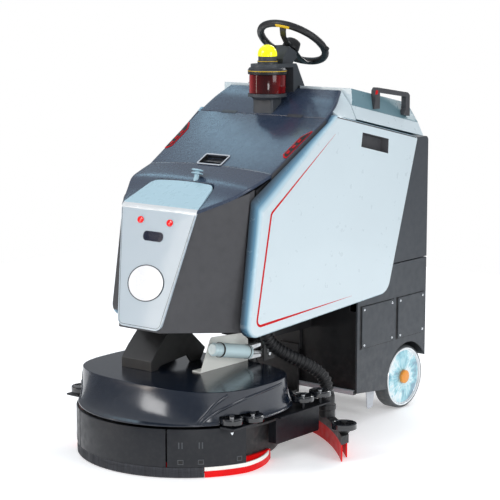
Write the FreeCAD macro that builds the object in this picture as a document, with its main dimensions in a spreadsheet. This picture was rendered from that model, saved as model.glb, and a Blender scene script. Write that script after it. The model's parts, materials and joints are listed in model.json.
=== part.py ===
import FreeCAD, Part
import math
import os
import re
import Sketcher

# Robotic floor scrubber. Millimetres, +Z up, front towards -Y, origin on the floor
# under the middle of the machine's outline.

V = FreeCAD.Vector
os.makedirs("parts", exist_ok=True)
doc = FreeCAD.newDocument("floor_scrubber")
sheet = doc.addObject("Spreadsheet::Sheet", "dims")

SIZES = {
    # rear wheels
    "rear_wheel_r": 125, "rear_axle_y": 612, "rear_wheel_out": 295, "rear_tyre_w": 65,
    # front drive wheel
    "drive_wheel_r": 95, "drive_axle_y": 12, "drive_wheel_w": 66,
    # chassis
    "chassis_front": 276, "chassis_rear": 727, "floor_bottom": 118, "floor_plate": 12,
    "cover_x": 300, "cover_skin": 8, "seam_z": 589, "housing_gap": 3,
    "cover_rear": 735, "dock_rear": 741, "arch_r": 141,
    # side panels
    "panel_in": 283, "panel_out": 328, "panel_round": 12,
    "panel_front_y": -332, "panel_front_z": 925, "panel_top_y": 95, "panel_top_z": 1186,
    "panel_rear_y": 636, "panel_rear_z": 1071, "panel_low_y": 446, "panel_low_z": 488,
    "panel_toe_y": -398, "panel_toe_z": 441,
    # front shell
    "shell_low": 456, "shell_high": 1000, "fascia_low": 477, "fascia_top": 888,
    "fascia_low_x": 99, "fascia_low_y": -599, "fascia_top_x": 175, "fascia_top_y": -489,
    "shell_side_x": 282, "shell_side_low_x": 260, "shell_side_low_y": -363,
    "shell_side_top_y": -332, "shell_skin": 8,
    "insert_x": 140, "insert_y": -354, "insert_z": 963,
    # upper covers
    "lid_front_x": 284, "lid_front_y": -223, "lid_front_z": 997, "lid_crown": 14,
    "hinge_x": 299, "hinge_y": 78, "hinge_z": 1174, "lid_skin": 24, "seam_gap": 3,
    "cover_mid_x": 276, "cover_mid_y": 120, "cover_mid_z": 1203,
    "cover_top_x": 260, "cover_top_y": 216, "cover_top_z": 1265,
    # recovery tank lid
    "tank_front_y": 222, "tank_back_y": 668, "tank_top_x": 300, "tank_back_x": 250,
    "tank_front_top": 1274, "tank_back_top": 1194, "tank_front_crease": 1213,
    "tank_back_crease": 1120, "tank_front_seam": 1161, "tank_back_seam": 1069,
    # sensor tower
    "tower_y": 112, "beacon_r": 36,
    # steering wheel
    "wheel_y": 265, "wheel_z": 1431, "wheel_tilt": 34.5, "rim_r": 129.5, "rim_section": 14,
    # brush deck
    "deck_y": -346, "ring_r": 395, "ring_in": 388, "ring_low": 37, "ring_high": 170,
    "dome_r": 389, "dome_low": 177, "dome_high": 290, "dome_top_x": 355, "dome_top_y": 260,
    "dome_skin": 6, "deck_back": -112, "deck_back_x": 330, "plate_z": 150, "plate_t": 8,
    "skirt_r": 330, "brush_r": 150, "brush_x": 156, "brush_y": -400,
    # squeegee
    "squeegee_back": 162, "squeegee_tip_x": 557, "squeegee_tip_y": -144,
    "beam_low": 62, "beam_high": 92, "beam_half": 22, "blade_offset": 14, "blade_t": 4,
    # suction hose
    "hose_r": 25, "hose_port_x": 215, "hose_port_y": -178, "tank_under": 486,
    "elbow_x": 342, "elbow_y": 38, "elbow_top": 178,
}


def fill_sheet():
    for row, (name, value) in enumerate(SIZES.items(), start=1):
        sheet.set("A%d" % row, name)
        sheet.set("B%d" % row, str(value))
        sheet.setAlias("B%d" % row, name)
    doc.recompute()


def size(name):
    """The number held in the sheet's cell of that name."""
    return float(sheet.get(name))


def cells(text):
    """Turn the sheet's words in a formula into references to its cells."""
    def link(match):
        word = match.group()
        return "dims." + word if word in SIZES else word
    return re.sub(r"[A-Za-z_]\w*", link, str(text))


def origin_plane(body, plane):
    return next(f for f in body.Origin.OriginFeatures if f.Role == plane + "_Plane")


def draw(body, plane, loops, circles=(), offset="0"):
    """A sketch of closed polygons and circles, each point tied to the sheet."""
    sketch = body.newObject("Sketcher::SketchObject", body.Name + "_sketch")
    sketch.AttachmentSupport = [(origin_plane(body, plane), "")]
    sketch.MapMode = "FlatFace"
    sketch.setExpression("AttachmentOffset.Base.z", cells(offset))
    for points in loops:
        first = sketch.GeometryCount
        count = len(points)
        ring = [V(9 * math.cos(2 * math.pi * i / count), 9 * math.sin(2 * math.pi * i / count), 0)
                for i in range(count)]
        for i in range(count):
            sketch.addGeometry(Part.LineSegment(ring[i], ring[(i + 1) % count]), False)
        for i in range(count):
            after = first + (i + 1) % count
            sketch.addConstraint(Sketcher.Constraint("Coincident", first + i, 2, after, 1))
        for i, (across, up) in enumerate(points):
            tie(sketch, "DistanceX", first + i, 1, across)
            tie(sketch, "DistanceY", first + i, 1, up)
    for across, up, radius in circles:
        index = sketch.addGeometry(Part.Circle(V(1, 1, 0), V(0, 0, 1), 5), False)
        tie(sketch, "DistanceX", index, 3, across)
        tie(sketch, "DistanceY", index, 3, up)
        row = sketch.addConstraint(Sketcher.Constraint("Radius", index, 5))
        sketch.setExpression("Constraints[%d]" % row, cells(radius))
    return sketch


def tie(sketch, kind, index, point, formula):
    row = sketch.addConstraint(Sketcher.Constraint(kind, -1, 1, index, point, 1.0))
    sketch.setExpression("Constraints[%d]" % row, cells(formula))


def round_corners(body, pad, plane, loop, corners):
    """Round the pad's long edges at the given corners of its outline."""
    doc.recompute()
    plane_axes = {"XY": (0, 1), "XZ": (0, 2), "YZ": (1, 2)}[plane]
    sketch = pad.Profile[0]
    feature = pad
    for corner, radius in corners.items():
        spot = sketch.Geometry[corner].StartPoint
        names = []
        for number, edge in enumerate(feature.Shape.Edges, start=1):
            ends = [[v.Point.x, v.Point.y, v.Point.z] for v in edge.Vertexes]
            near = [abs(e[plane_axes[0]] - spot.x) + abs(e[plane_axes[1]] - spot.y) < 0.01
                    for e in ends]
            if len(ends) == 2 and all(near):
                names.append("Edge%d" % number)
        fillet = body.newObject("PartDesign::Fillet", body.Name + "_corner")
        fillet.Base = (feature, names)
        fillet.setExpression("Radius", cells(radius))
        doc.recompute()
        feature = fillet
    return feature


def plate(name, plane, points, depth, start="0", holes=(), circles=(), corners=None):
    """A flat-sided piece: an outline padded along its plane's axis from start."""
    body = doc.addObject("PartDesign::Body", name)
    sketch = draw(body, plane, [points] + list(holes), circles)
    pad = body.newObject("PartDesign::Pad", name + "_pad")
    pad.Profile = sketch
    pad.setExpression("Length", cells(depth))
    pad.Reversed = plane == "XZ"
    if corners:
        round_corners(body, pad, plane, points, corners)
    axis = {"XY": "z", "XZ": "y", "YZ": "x"}[plane]
    body.setExpression("Placement.Base." + axis, cells(start))
    return body


def loft(name, plane, stations):
    """A ruled piece through polygons drawn at stations along the plane's axis."""
    body = doc.addObject("PartDesign::Body", name)
    sign = "-1*" if plane == "XZ" else ""
    sketches = [draw(body, plane, [points], offset=sign + "(" + place + ")")
                for place, points in stations]
    feature = body.newObject("PartDesign::AdditiveLoft", name + "_loft")
    feature.Profile = sketches[0]
    feature.Sections = sketches[1:]
    feature.Ruled = True
    return body


def turned(name, profile, place, tilt=None, angle=360, start=0):
    """A piece of revolution: (radius, height) outline about an axis at place."""
    body = doc.addObject("PartDesign::Body", name)
    sketch = draw(body, "XZ", [profile])
    turn = body.newObject("PartDesign::Revolution", name + "_turn")
    turn.Profile = sketch
    turn.ReferenceAxis = (sketch, ["V_Axis"])
    turn.Angle = angle
    turn.Reversed = False
    spin = FreeCAD.Rotation(V(0, 0, 1), start)
    lean = FreeCAD.Rotation(V(*tilt[:3]), tilt[3]) if tilt else FreeCAD.Rotation()
    body.Placement = FreeCAD.Placement(V(0, 0, 0), lean * spin)
    for axis, formula in zip("xyz", place):
        body.setExpression("Placement.Base." + axis, cells(formula))
    return body


def block(name, lengths, place):
    """A rectangular piece with its lowest corner at place."""
    piece = doc.addObject("Part::Box", name)
    for prop, formula in zip(("Length", "Width", "Height"), lengths):
        piece.setExpression(prop, cells(formula))
    for axis, formula in zip("xyz", place):
        piece.setExpression("Placement.Base." + axis, cells(formula))
    return piece


def rod(name, radius, length, place, axis="Z"):
    """A round bar from place along an axis of the machine."""
    piece = doc.addObject("Part::Cylinder", name)
    turn = {"Z": FreeCAD.Rotation(), "X": FreeCAD.Rotation(V(0, 1, 0), 90),
            "Y": FreeCAD.Rotation(V(1, 0, 0), -90)}[axis]
    piece.Placement = FreeCAD.Placement(V(0, 0, 0), turn)
    piece.setExpression("Radius", cells(radius))
    piece.setExpression("Height", cells(length))
    for letter, formula in zip("xyz", place):
        piece.setExpression("Placement.Base." + letter, cells(formula))
    return piece


def cut(name, base, tools):
    """base with every tool taken away."""
    tool = tools[0] if len(tools) == 1 else fuse(name + "_tools", tools)
    piece = doc.addObject("Part::Cut", name)
    piece.Base = base
    piece.Tool = tool
    return piece


def fuse(name, pieces):
    piece = doc.addObject("Part::MultiFuse", name)
    piece.Shapes = pieces
    return piece


def common(name, first, second):
    piece = doc.addObject("Part::Common", name)
    piece.Base = first
    piece.Tool = second
    return piece


def shaped(name, shape, place=None):
    """A piece whose shape comes from Part's own functions."""
    piece = doc.addObject("Part::Feature", name)
    piece.Shape = shape
    if place:
        piece.Placement = place
    return piece


def mirror_x(points):
    """The same outline on the machine's other side."""
    return [("-1*(%s)" % across, up) for across, up in points]


nodes = {}


def keep(name, piece):
    """Give a sub-part its label and put it on the list of files to write."""
    piece.Label = name
    nodes[name] = piece
    return piece


def sides():
    """Side name, sign along X."""
    return (("right", 1), ("left", -1))


def span(sign, low, high):
    """Where a piece between low and high from the middle starts on one side."""
    return low if sign > 0 else "-1*(%s)" % high


# ---------------------------------------------------------------- chassis

def build_chassis():
    y0, y1 = "chassis_front", "chassis_rear"
    waist = "rear_axle_y - arch_r - 12"
    slim = "rear_wheel_out - rear_tyre_w - 40"
    outline = [("-292", y0), ("292", y0), ("292", waist), (slim, waist), (slim, y1),
               ("-1*(%s)" % slim, y1), ("-1*(%s)" % slim, waist), ("-292", waist)]
    parts = [plate("floor_sheet", "XY", outline, "floor_plate", "floor_bottom")]
    parts.append(plate("front_wall", "XZ", [
        ("-300", "floor_bottom"), ("300", "floor_bottom"), ("300", "436"), ("272", "436"),
        ("272", "seam_z - 4"), ("-272", "seam_z - 4"), ("-272", "436"), ("-300", "436")],
        "8", "chassis_front - 4"))
    parts.append(block("front_rail", ("600", "12", "16"),
                       ("-300", "chassis_front - 16", "floor_bottom")))
    parts.append(block("back_wall", ("420", "6", "seam_z - 135"),
                       ("-210", "chassis_rear - 6", "130")))
    parts.append(block("top_sheet", ("540", "chassis_rear - chassis_front", "6"),
                       ("-270", "chassis_front", "seam_z - 10")))
    parts.append(block("tongue", ("180", "chassis_front + 45", "14"), ("-90", "-45", "352")))
    for number, x in enumerate(("-90", "82")):
        parts.append(block("rib_%d" % number, ("8", "chassis_front + 45", "118"),
                           (x, "-45", "366")))
    parts.append(block("squeegee_guide", ("90", "12", "90"), ("-45", "260", "262")))
    parts += hanger()
    for side, sign in sides():
        parts.append(plate("mud_flap_" + side, "YZ", [
            ("392", "120"), ("452", "120"), ("440", "34"), ("404", "28")], "4",
            span(sign, "262", "266"), corners={2: "10", 3: "10"}))
    bore = rod("steer_bore", "24", "40", ("0", "drive_axle_y", "340"))
    keep("chassis_frame", cut("chassis_frame", fuse("chassis_weld", parts), [bore]))
    keep("battery_pack", block("battery_pack", ("380", "255", "300"), ("-190", "300", "131")))
    motors = []
    for side, sign in sides():
        motors.append(rod("axle_%s" % side, "12", "90",
                          (span(sign, "200", "290"), "rear_axle_y", "rear_wheel_r"), "X"))
        motors.append(rod("motor_can_%s" % side, "45", "100",
                          (span(sign, "100", "200"), "rear_axle_y", "rear_wheel_r + 56"), "X"))
        motors.append(block("gear_case_%s" % side, ("14", "90", "130"),
                            (span(sign, "190", "204"), "rear_axle_y - 45", "rear_wheel_r - 25")))
    keep("drive_motors", fuse("drive_motors", motors))


def hanger():
    """Slotted ears that carry the lift actuator's rod end."""
    ear = [("-84", "290"), ("-20", "290"), ("-20", "484"), ("-84", "484")]
    slot = [("-60", "304"), ("-46", "304"), ("-46", "356"), ("-60", "356")]
    ears = [plate("hanger_ear_%d" % number, "YZ", ear, "5", x, holes=[slot])
            for number, x in enumerate(("105", "138"))]
    return ears + [block("hanger_bridge", ("61", "64", "14"), ("82", "-84", "470"))]


PANEL = [("panel_front_y", "panel_front_z"), ("panel_top_y", "panel_top_z"),
         ("panel_rear_y", "panel_rear_z"), ("panel_low_y", "panel_low_z"),
         ("panel_toe_y", "panel_toe_z")]
PANEL_CORNERS = {0: "24", 1: "30", 2: "14", 3: "62", 4: "46"}


def panel_blank(name, sign):
    """The side panel's outline at its full thickness, also used to clear room for it."""
    return plate(name, "YZ", PANEL, "panel_out - panel_in",
                 span(sign, "panel_in", "panel_out"), corners=PANEL_CORNERS)


def build_lower_covers():
    outline = [("chassis_front - 4", "123"), ("chassis_front - 4", "seam_z - 1"),
               ("cover_rear - 8", "seam_z - 1"), ("cover_rear - 8", "97"),
               ("rear_axle_y + arch_r - 25", "97"), ("rear_axle_y - arch_r + 25", "100")]
    skins = []
    doors = []
    tools = []
    rear_rooms = []
    for side, sign in sides():
        skins.append(plate("cover_blank_" + side, "YZ", outline, "cover_skin",
                           span(sign, "cover_x", "cover_x + cover_skin")))
        tools.append(rod("arch_" + side, "arch_r", "40",
                         (span(sign, "cover_x - 10", "cover_x + 30"), "rear_axle_y",
                          "rear_wheel_r"), "X"))
        tools.append(panel_blank("cover_room_" + side, sign))
        rear_rooms.append(rod("rear_arch_" + side, "arch_r", "90",
                              (span(sign, "222", "312"), "rear_axle_y", "rear_wheel_r"), "X"))
        for number, (near, far) in enumerate((("298", "508"), ("538", "719"))):
            doors.append(plate("door_%s_%d" % (side, number), "YZ",
                               [(near, "292"), (far, "292"), (far, "452"), (near, "452")], "4",
                               span(sign, "cover_x + cover_skin", "cover_x + cover_skin + 4"),
                               corners={0: "4", 1: "4", 2: "4", 3: "4"}))
    keep("lower_covers", cut("lower_covers", fuse("cover_blanks", skins), tools))
    keep("access_doors", fuse("access_doors", doors))
    sheet_back = plate("rear_sheet", "XZ", [
        ("-308", "seam_z - 1"), ("308", "seam_z - 1"), ("308", "97"), ("-308", "97")],
        "cover_rear - chassis_rear", "chassis_rear", corners={0: "3", 1: "3", 2: "14", 3: "14"})
    dock = plate("dock_plate", "XZ", [
        ("-110", "340"), ("110", "340"), ("110", "230"), ("-110", "230")],
        "dock_rear - cover_rear", "cover_rear", corners={0: "12", 1: "12", 2: "12", 3: "12"})
    keep("rear_cover", cut("rear_cover", fuse("rear_sheets", [sheet_back, dock]), rear_rooms))


def build_tank():
    """Moulded recovery tank: rear housing and the core between the side panels."""
    gap = "seam_z + housing_gap"
    core = plate("tank_core", "YZ",
                 [("-300", "tank_under"), ("chassis_front - 8", "tank_under"),
                  ("chassis_front - 8", gap), ("480", gap), ("600", "1060"),
                  ("660", "tank_back_seam - 4"), ("tank_front_y - 2", "tank_front_seam - 4"),
                  ("130", "1166"), ("90", "hinge_z - 14"), ("74", "hinge_z - 34"),
                  ("-216", "966"), ("-228", "978"), ("-300", "949")],
                 "2*panel_in - 4", "2 - panel_in")
    rear = plate("rear_housing", "YZ",
                 [("450", gap), ("cover_rear", gap), ("cover_rear - 2", "1066"),
                  ("640", "tank_back_seam - 4"), ("590", "1060")],
                 "616", "-308", corners={2: "18"})
    shoulders = [shoulder("shoulder_" + side, sign) for side, sign in sides()]
    rooms = [panel_blank("housing_room_" + side, sign) for side, sign in sides()]
    rooms.append(block("basin", ("456", "400", "420"), ("-228", "240", "780")))
    rooms.append(block("front_bay", ("500", "240", "560"), ("-250", "-200", "620")))
    rooms.append(block("under_bay", ("300", "270", "110"), ("-240", "-305", "480")))
    rooms.append(rod("hose_port", "hose_r - 4", "120", ("hose_port_x", "hose_port_y", "470")))
    whole = fuse("tank_mould", [core, rear] + shoulders)
    keep("tank_body", cut("tank_body", whole, rooms))
    motor = rod("vacuum_motor", "62", "130", ("-120", "-70", "620"))
    box = block("control_box", ("200", "150", "90"), ("10", "-180", "620"))
    keep("bay_units", fuse("bay_units", [motor, box]))


def shoulder(name, sign):
    """Shoulder of the tank between the dark cover and the side panel."""
    full = [("cover_top_x + 0.5", "1140"), ("panel_out - 2", "1140"), ("panel_out - 2", "1160"),
            ("302", "1212"), ("cover_top_x + 0.5", "1264")]
    near = [("cover_mid_x + 0.5", "1140"), ("panel_out - 4", "1140"), ("panel_out - 4", "1174"),
            ("302", "1192"), ("cover_mid_x + 0.5", "1202")]
    flip = (lambda points: points) if sign > 0 else mirror_x
    return loft(name, "XZ", [("cover_mid_y + 2", flip(near)), ("tank_front_y - 1", flip(full))])


def cover_room():
    """The space of the front cap, lid and top cover with a small gap all round."""
    return loft("cover_room", "XZ", [
        ("-500", cap_section("270", "830", "900", "1000", "100")),
        ("-333", cap_section("280.5", "930", "960", "1100", "100")),
        ("lid_front_y", cap_section("lid_front_x + 1.5", "lid_front_z - 28", "lid_front_z + 20",
                                    "lid_front_z + 80", "100")),
        ("hinge_y", cap_section("hinge_x + 1.5", "hinge_z - 30", "hinge_z + 20",
                                "hinge_z + 80", "100")),
        ("cover_mid_y", cap_section("cover_mid_x + 1", "cover_mid_z - 30", "cover_mid_z + 20",
                                    "cover_mid_z + 80", "100")),
        ("cover_top_y", cap_section("cover_top_x + 1", "1200", "1290", "1340", "100"))])


def build_side_panels():
    grip = [("262", "1112"), ("430", "1076"), ("428", "1022"), ("254", "1060")]
    for side, sign in sides():
        name = "side_panel_" + side
        body = panel_blank("panel_mould_" + side, sign)
        doc.recompute()
        base = body.Tip
        pocket_sketch = draw(body, "YZ", [grip], offset="panel_out - panel_in" if sign > 0 else "0")
        pocket = body.newObject("PartDesign::Pocket", name + "_grip")
        pocket.Profile = pocket_sketch
        pocket.Length = 34
        pocket.Reversed = sign < 0
        doc.recompute()
        assert pocket.Shape.Volume < base.Shape.Volume - 1000, "the grip cuts nothing"
        outer = size("panel_out") - size("panel_in") if sign > 0 else 0.0
        rims = [i for i, e in enumerate(pocket.Shape.Edges, start=1)
                if all(abs(v.Point.x - outer) < 0.01 for v in e.Vertexes)
                and not grip_edge(e)]
        fillet = body.newObject("PartDesign::Fillet", name + "_rim")
        fillet.Base = (pocket, ["Edge%d" % i for i in rims])
        fillet.setExpression("Radius", cells("panel_round"))
        doc.recompute()
        keep(name, cut(name, body, [cover_room()]))


def grip_edge(edge):
    """True for an edge of the hand recess, which lies inside the outline."""
    middle = edge.CenterOfMass
    return 240 < middle.y < 440 and 1000 < middle.z < 1125 and edge.Length < 185


# ---------------------------------------------------------------- front end

def shell_outline(inset):
    """Front shell outlines at its lowest and highest level, inset by a wall."""
    run = "(fascia_top - fascia_low)"
    widen = "(fascia_top_x - fascia_low_x)/" + run
    back = "(fascia_top_y - fascia_low_y)/" + run
    stations = []
    for level, side_x, side_y in (("shell_low", "shell_side_low_x", "shell_side_low_y"),
                                  ("shell_high", "shell_side_x", "shell_side_top_y")):
        rise = "(%s - fascia_low)" % level
        front_x = "fascia_low_x + %s*%s" % (rise, widen)
        front_y = "fascia_low_y + 9 + %s*%s" % (rise, back)
        half = [("%s - %s*0.8" % (front_x, inset), "%s + %s" % (front_y, inset)),
                ("%s - %s" % (side_x, inset), "%s + %s*0.5" % (side_y, inset)),
                ("%s - %s" % (side_x, inset), "-306")]
        other = [("-1*(%s)" % x, y) for x, y in reversed(half)]
        stations.append((level, half + other))
    return stations


def build_front():
    outer = loft("shell_outer", "XY", shell_outline("0"))
    inner = loft("shell_inner", "XY", shell_outline("shell_skin"))
    slope = [("-700", "880 - 0.395*211"), ("-200", "880 + 0.395*289"), ("-200", "1100"),
             ("-700", "1100")]
    above = plate("above_cap", "YZ", slope, "700", "-350")
    keep("front_shell", cut("front_shell", outer, [inner, above]))
    front = loft("fascia_front", "XY", [
        ("fascia_low", [("-1*fascia_low_x", "fascia_low_y"), ("fascia_low_x", "fascia_low_y"),
                        ("fascia_low_x", "fascia_low_y + 8.5"),
                        ("-1*fascia_low_x", "fascia_low_y + 8.5")]),
        ("fascia_top", [("-1*fascia_top_x", "fascia_top_y"), ("fascia_top_x", "fascia_top_y"),
                        ("fascia_top_x", "fascia_top_y + 8.5"),
                        ("-1*fascia_top_x", "fascia_top_y + 8.5")])])
    top = loft("fascia_insert", "XZ", [
        ("fascia_top_y", [("-1*fascia_top_x", "fascia_top"), ("fascia_top_x", "fascia_top"),
                          ("fascia_top_x", "fascia_top - 8"),
                          ("-1*fascia_top_x", "fascia_top - 8")]),
        ("insert_y", [("-1*insert_x", "insert_z"), ("insert_x", "insert_z"),
                      ("insert_x", "insert_z - 8"), ("-1*insert_x", "insert_z - 8")])])
    keep("front_fascia", fuse("front_fascia", [front, top]))
    build_lock()
    build_fascia_fittings()


def cap_section(half, low, edge, crown, flat):
    """Cross-section of a crowned cover, from its left foot round to its right."""
    return [("-1*(%s)" % half, low), ("-1*(%s)" % half, edge), ("-1*(%s)" % flat, crown),
            (flat, crown), (half, edge), (half, low)]


def cap_block():
    return loft("cap_block", "XZ", [
        ("fascia_top_y", cap_section("fascia_top_x", "880.5", "fascia_top - 1",
                                     "fascia_top", "fascia_top_x*0.7")),
        ("-332", cap_section("279", "943", "951", "973.5", "insert_x + 6")),
        ("lid_front_y", cap_section("lid_front_x", "986", "lid_front_z",
                                    "lid_front_z + lid_crown", "insert_x + 20"))])


def insert_pocket():
    """Room in the cap for the fascia's top insert, with a hair of clearance."""
    return loft("insert_pocket", "XZ", [
        ("fascia_top_y - 6", [("-1*fascia_top_x - 9", "fascia_top + 20"),
                              ("fascia_top_x + 9", "fascia_top + 20"),
                              ("fascia_top_x + 9", "fascia_top - 13"),
                              ("-1*fascia_top_x - 9", "fascia_top - 13")]),
        ("insert_y + 0.5", [("-1*insert_x - 0.5", "insert_z + 20"),
                            ("insert_x + 0.5", "insert_z + 20"),
                            ("insert_x + 0.5", "insert_z - 9"),
                            ("-1*insert_x - 0.5", "insert_z - 9")])])


def on_fascia(height, proud):
    """Y of a point on the fascia's outer face at that height, stood proud of it."""
    slope = "(fascia_top_y - fascia_low_y)/(fascia_top - fascia_low)"
    return "fascia_low_y - %s + (%s - fascia_low)*%s" % (proud, height, slope)


def build_fascia_fittings():
    lean = math.degrees(math.atan2(size("fascia_top_y") - size("fascia_low_y"),
                                   size("fascia_top") - size("fascia_low")))
    tilt = (1, 0, 0, 90 - lean)

    def disc(name, radius, thick, x, height):
        profile = [("0", "0"), (radius, "0"), (radius, "%s - 1" % thick),
                   ("%s - 1" % radius, thick), ("0", thick)]
        return turned(name, profile, (x, on_fascia(height, "0"), height), tilt)

    lamps = [disc("lamp_%s" % side, "13", "5", "%d" % (68 * sign), "838")
             for side, sign in sides()]
    window = plate("sensor_window", "XY", [("-46", "-22"), ("46", "-22"), ("46", "22"),
                                           ("-46", "22")], "4",
                   corners={0: "12", 1: "12", 2: "12", 3: "12"})
    window.setExpression("Placement.Base.z", "777")
    window.setExpression("Placement.Base.y", cells(on_fascia("777", "0")))
    window.Placement.Rotation = FreeCAD.Rotation(V(1, 0, 0), 90 - lean)
    keep("front_sensors", fuse("front_sensors", lamps + [window]))


# ---------------------------------------------------------------- top covers

def hinge_pins(name, radius):
    """The lid's two hinge barrels, or with a larger radius the notches for them."""
    pins = [rod("%s_%d" % (name, number), radius, "70", (x, "hinge_y", "hinge_z + 2.5"), "X")
            for number, x in enumerate(("-190", "120"))]
    return fuse(name, pins)


def build_hood_lid():
    blank = loft("lid_blank", "XZ", [
        ("lid_front_y + seam_gap", cap_section("lid_front_x", "lid_front_z + 1 - lid_skin",
         "lid_front_z + 1.8", "lid_front_z + lid_crown + 1.8", "insert_x + 20")),
        ("hinge_y - seam_gap", cap_section("hinge_x", "hinge_z - 1.8 - lid_skin", "hinge_z - 1.8",
         "hinge_z - 1.8", "250"))])
    recess = plate("latch_recess", "YZ", [("-216", "1001"), ("-166", "1028"), ("-166", "1090"),
                                          ("-216", "1090")], "104", "-52")
    keep("hood_lid", cut("hood_lid", blank, [recess, hinge_pins("lid_notch", "4.4")]))


def build_lock():
    """Quarter-turn lock of two discs that stands on the front cap."""
    place, lean = ("36", "-333", "972"), (1, 0, 0, -15)
    bore = turned("lock_bore", [("0", "-20"), ("9.4", "-20"), ("9.4", "20"), ("0", "20")],
                  place, lean)
    keep("front_cap", cut("front_cap", cap_block(), [insert_pocket(), bore]))
    keep("lock_knob", turned("lock_knob", [
        ("0", "-10"), ("9", "-10"), ("9", "19"), ("21", "19"), ("21", "23.5"), ("9", "23.5"),
        ("9", "30"), ("21", "30"), ("21", "34"), ("19", "35.5"), ("0", "35.5")], place, lean))


def build_top_cover():
    solid = loft("top_blank", "XZ", [
        ("hinge_y", cap_section("hinge_x", "hinge_z - 20", "hinge_z", "hinge_z", "250")),
        ("cover_mid_y", cap_section("cover_mid_x", "cover_mid_z - 20", "cover_mid_z",
                                    "cover_mid_z + 3", "230")),
        ("cover_top_y", cap_section("cover_top_x", "cover_top_z - 20", "cover_top_z",
                                    "cover_top_z", "230"))])
    hole = block("tower_hole", ("93", "62", "120"), ("-46.5", "tower_y - 30.5", "1130"))
    ring = rod("ring_room", "73", "99", ("0", "tower_y", "1220"))
    cover = cut("cover_moulding", solid, [hole, ring, hinge_pins("cover_notch", "4.1")])
    keep("top_cover", fuse("top_cover", [cover, hinge_pins("hinge_barrels", "4.1")]))


def build_tower():
    y = "tower_y"
    foot = plate("tower_foot", "XY", [("-46", y + " - 30"), ("46", y + " - 30"),
                                      ("46", y + " + 30"), ("-46", y + " + 30")],
                 "68", "1168", corners={0: "8", 1: "8", 2: "8", 3: "8"})
    ring = turned("tower_ring", [("0", "1222"), ("50", "1226"), ("60", "1235"), ("72", "1237"),
                                 ("72", "1249"), ("0", "1249")], ("0", y, "0"))
    cap = turned("tower_cap", [("0", "1319"), ("70", "1319"), ("72", "1323"), ("72", "1336"),
                               ("66", "1344"), ("0", "1344")], ("0", y, "0"))
    keep("lidar_housing", fuse("lidar_housing", [foot, ring, cap]))
    keep("lidar_window", turned("lidar_window", [
        ("0", "1249"), ("67", "1249"), ("66", "1319"), ("0", "1319")], ("0", y, "0")))
    shelf = rod("shelf_disc", "62", "13", ("0", y, "1344"))
    bridge = block("shelf_bridge", ("124", "96", "13"), ("-62", y, "1344"))
    web = plate("column_web", "YZ", [
        ("190", "1250"), ("cover_top_y - 1", "1266"), ("tank_front_y - 4", "1275"),
        ("tank_front_y + 2", "1275"), ("tank_front_y + 2", "1158"),
        ("tank_front_y + 38", "1158"), ("tank_front_y + 38", "1268"), ("212", "1352"),
        ("206", "1357"), ("150", "1357"), ("150", "1344"), ("188", "1344")], "124", "-62")
    neck = plate("column_neck", "YZ", [
        ("165", "1350"), ("210", "1350"), ("256", "1378"), ("228", "1402"), ("206", "1420"),
        ("165", "1374")], "60", "-30")
    head = turned("column_head", [("0", "-90"), ("22", "-90"), ("30", "-76"), ("30", "-38"),
                                  ("0", "-38")],
                  ("0", "wheel_y", "wheel_z"), (1, 0, 0, -size("wheel_tilt")))
    lamp = turned("beacon_base", [("0", "1357"), ("37", "1357"), ("37", "1363"),
                                  ("34", "1366"), ("34", "1384"), ("0", "1384")], ("0", y, "0"))
    covers = fuse("column_covers", [shelf, bridge, web, neck, head, lamp])
    keep("steering_column", cut("steering_column", covers, [column_foot_room()]))
    dome = [("0", "1384"), ("beacon_r", "1384")]
    for step in range(0, 6):
        angle = math.radians(15 * step)
        dome.append(("beacon_r*%.4f" % math.cos(angle), "1392 + beacon_r*%.4f" % math.sin(angle)))
    dome.append(("0", "1392 + beacon_r"))
    keep("beacon_dome", turned("beacon_dome", dome, ("0", y, "0")))


def column_foot_room():
    """Room for the top cover and the tank's shoulder under the steering column."""
    low = [("-400", "1100"), ("400", "1100"), ("400", "cover_mid_z"), ("-400", "cover_mid_z")]
    high = [("-400", "1100"), ("400", "1100"), ("400", "cover_top_z"), ("-400", "cover_top_z")]
    slope = loft("column_slope", "XZ", [("cover_mid_y", low), ("cover_top_y", high)])
    flat = block("column_flat", ("800", "7.5", "174.5"), ("-400", "cover_top_y", "1100"))
    return fuse("column_foot_room", [slope, flat])


def build_tank_lid():
    def stations(inset, front, back, floor):
        places = []
        for y, top_x, top, crease, seam in (
                (front, "tank_top_x", "tank_front_top", "tank_front_crease", "tank_front_seam"),
                (back, "tank_back_x", "tank_back_top", "tank_back_crease", "tank_back_seam")):
            right = [("panel_out - 1 - " + inset, seam + floor),
                     ("302 - " + inset, crease + " - %s*0.3" % inset),
                     (top_x + " - " + inset, top + " - " + inset)]
            left = [("-1*(%s)" % x, z) for x, z in reversed(right)]
            places.append((y, right + left))
        return places

    outer = loft("tank_lid_outer", "XZ", stations("0", "tank_front_y + 2", "tank_back_y", " + 2"))
    inner = loft("tank_lid_inner", "XZ", stations("8", "tank_front_y + 10", "tank_back_y - 8",
                                                  " - 30"))
    notch = block("column_notch", ("132", "40", "200"), ("-66", "tank_front_y", "1100"))
    keep("tank_lid", cut("tank_lid", outer, [inner, notch]))
    profile = [("362", "1190"), ("374", "1246"), ("374", "1258"), ("384", "1270"),
               ("588", "1241"), ("600", "1230"), ("600", "1150"), ("556", "1158"),
               ("574", "1180"), ("574", "1226"), ("400", "1250"), ("400", "1190")]
    handles = []
    for side, sign in sides():
        blank = plate("handle_blank_" + side, "YZ", profile, "24", span(sign, "284", "308"),
                      corners={3: "10", 4: "10"})
        solid = loft("handle_seat_" + side, "XZ",
                     stations("0", "tank_front_y + 2", "tank_back_y", " + 2"))
        handles.append(cut("handle_cut_" + side, blank, [solid]))
    keep("lid_handles", fuse("lid_handles", handles))


# ---------------------------------------------------------------- steering

SPOKE_ANGLES = (82, 190, 285)


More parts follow.
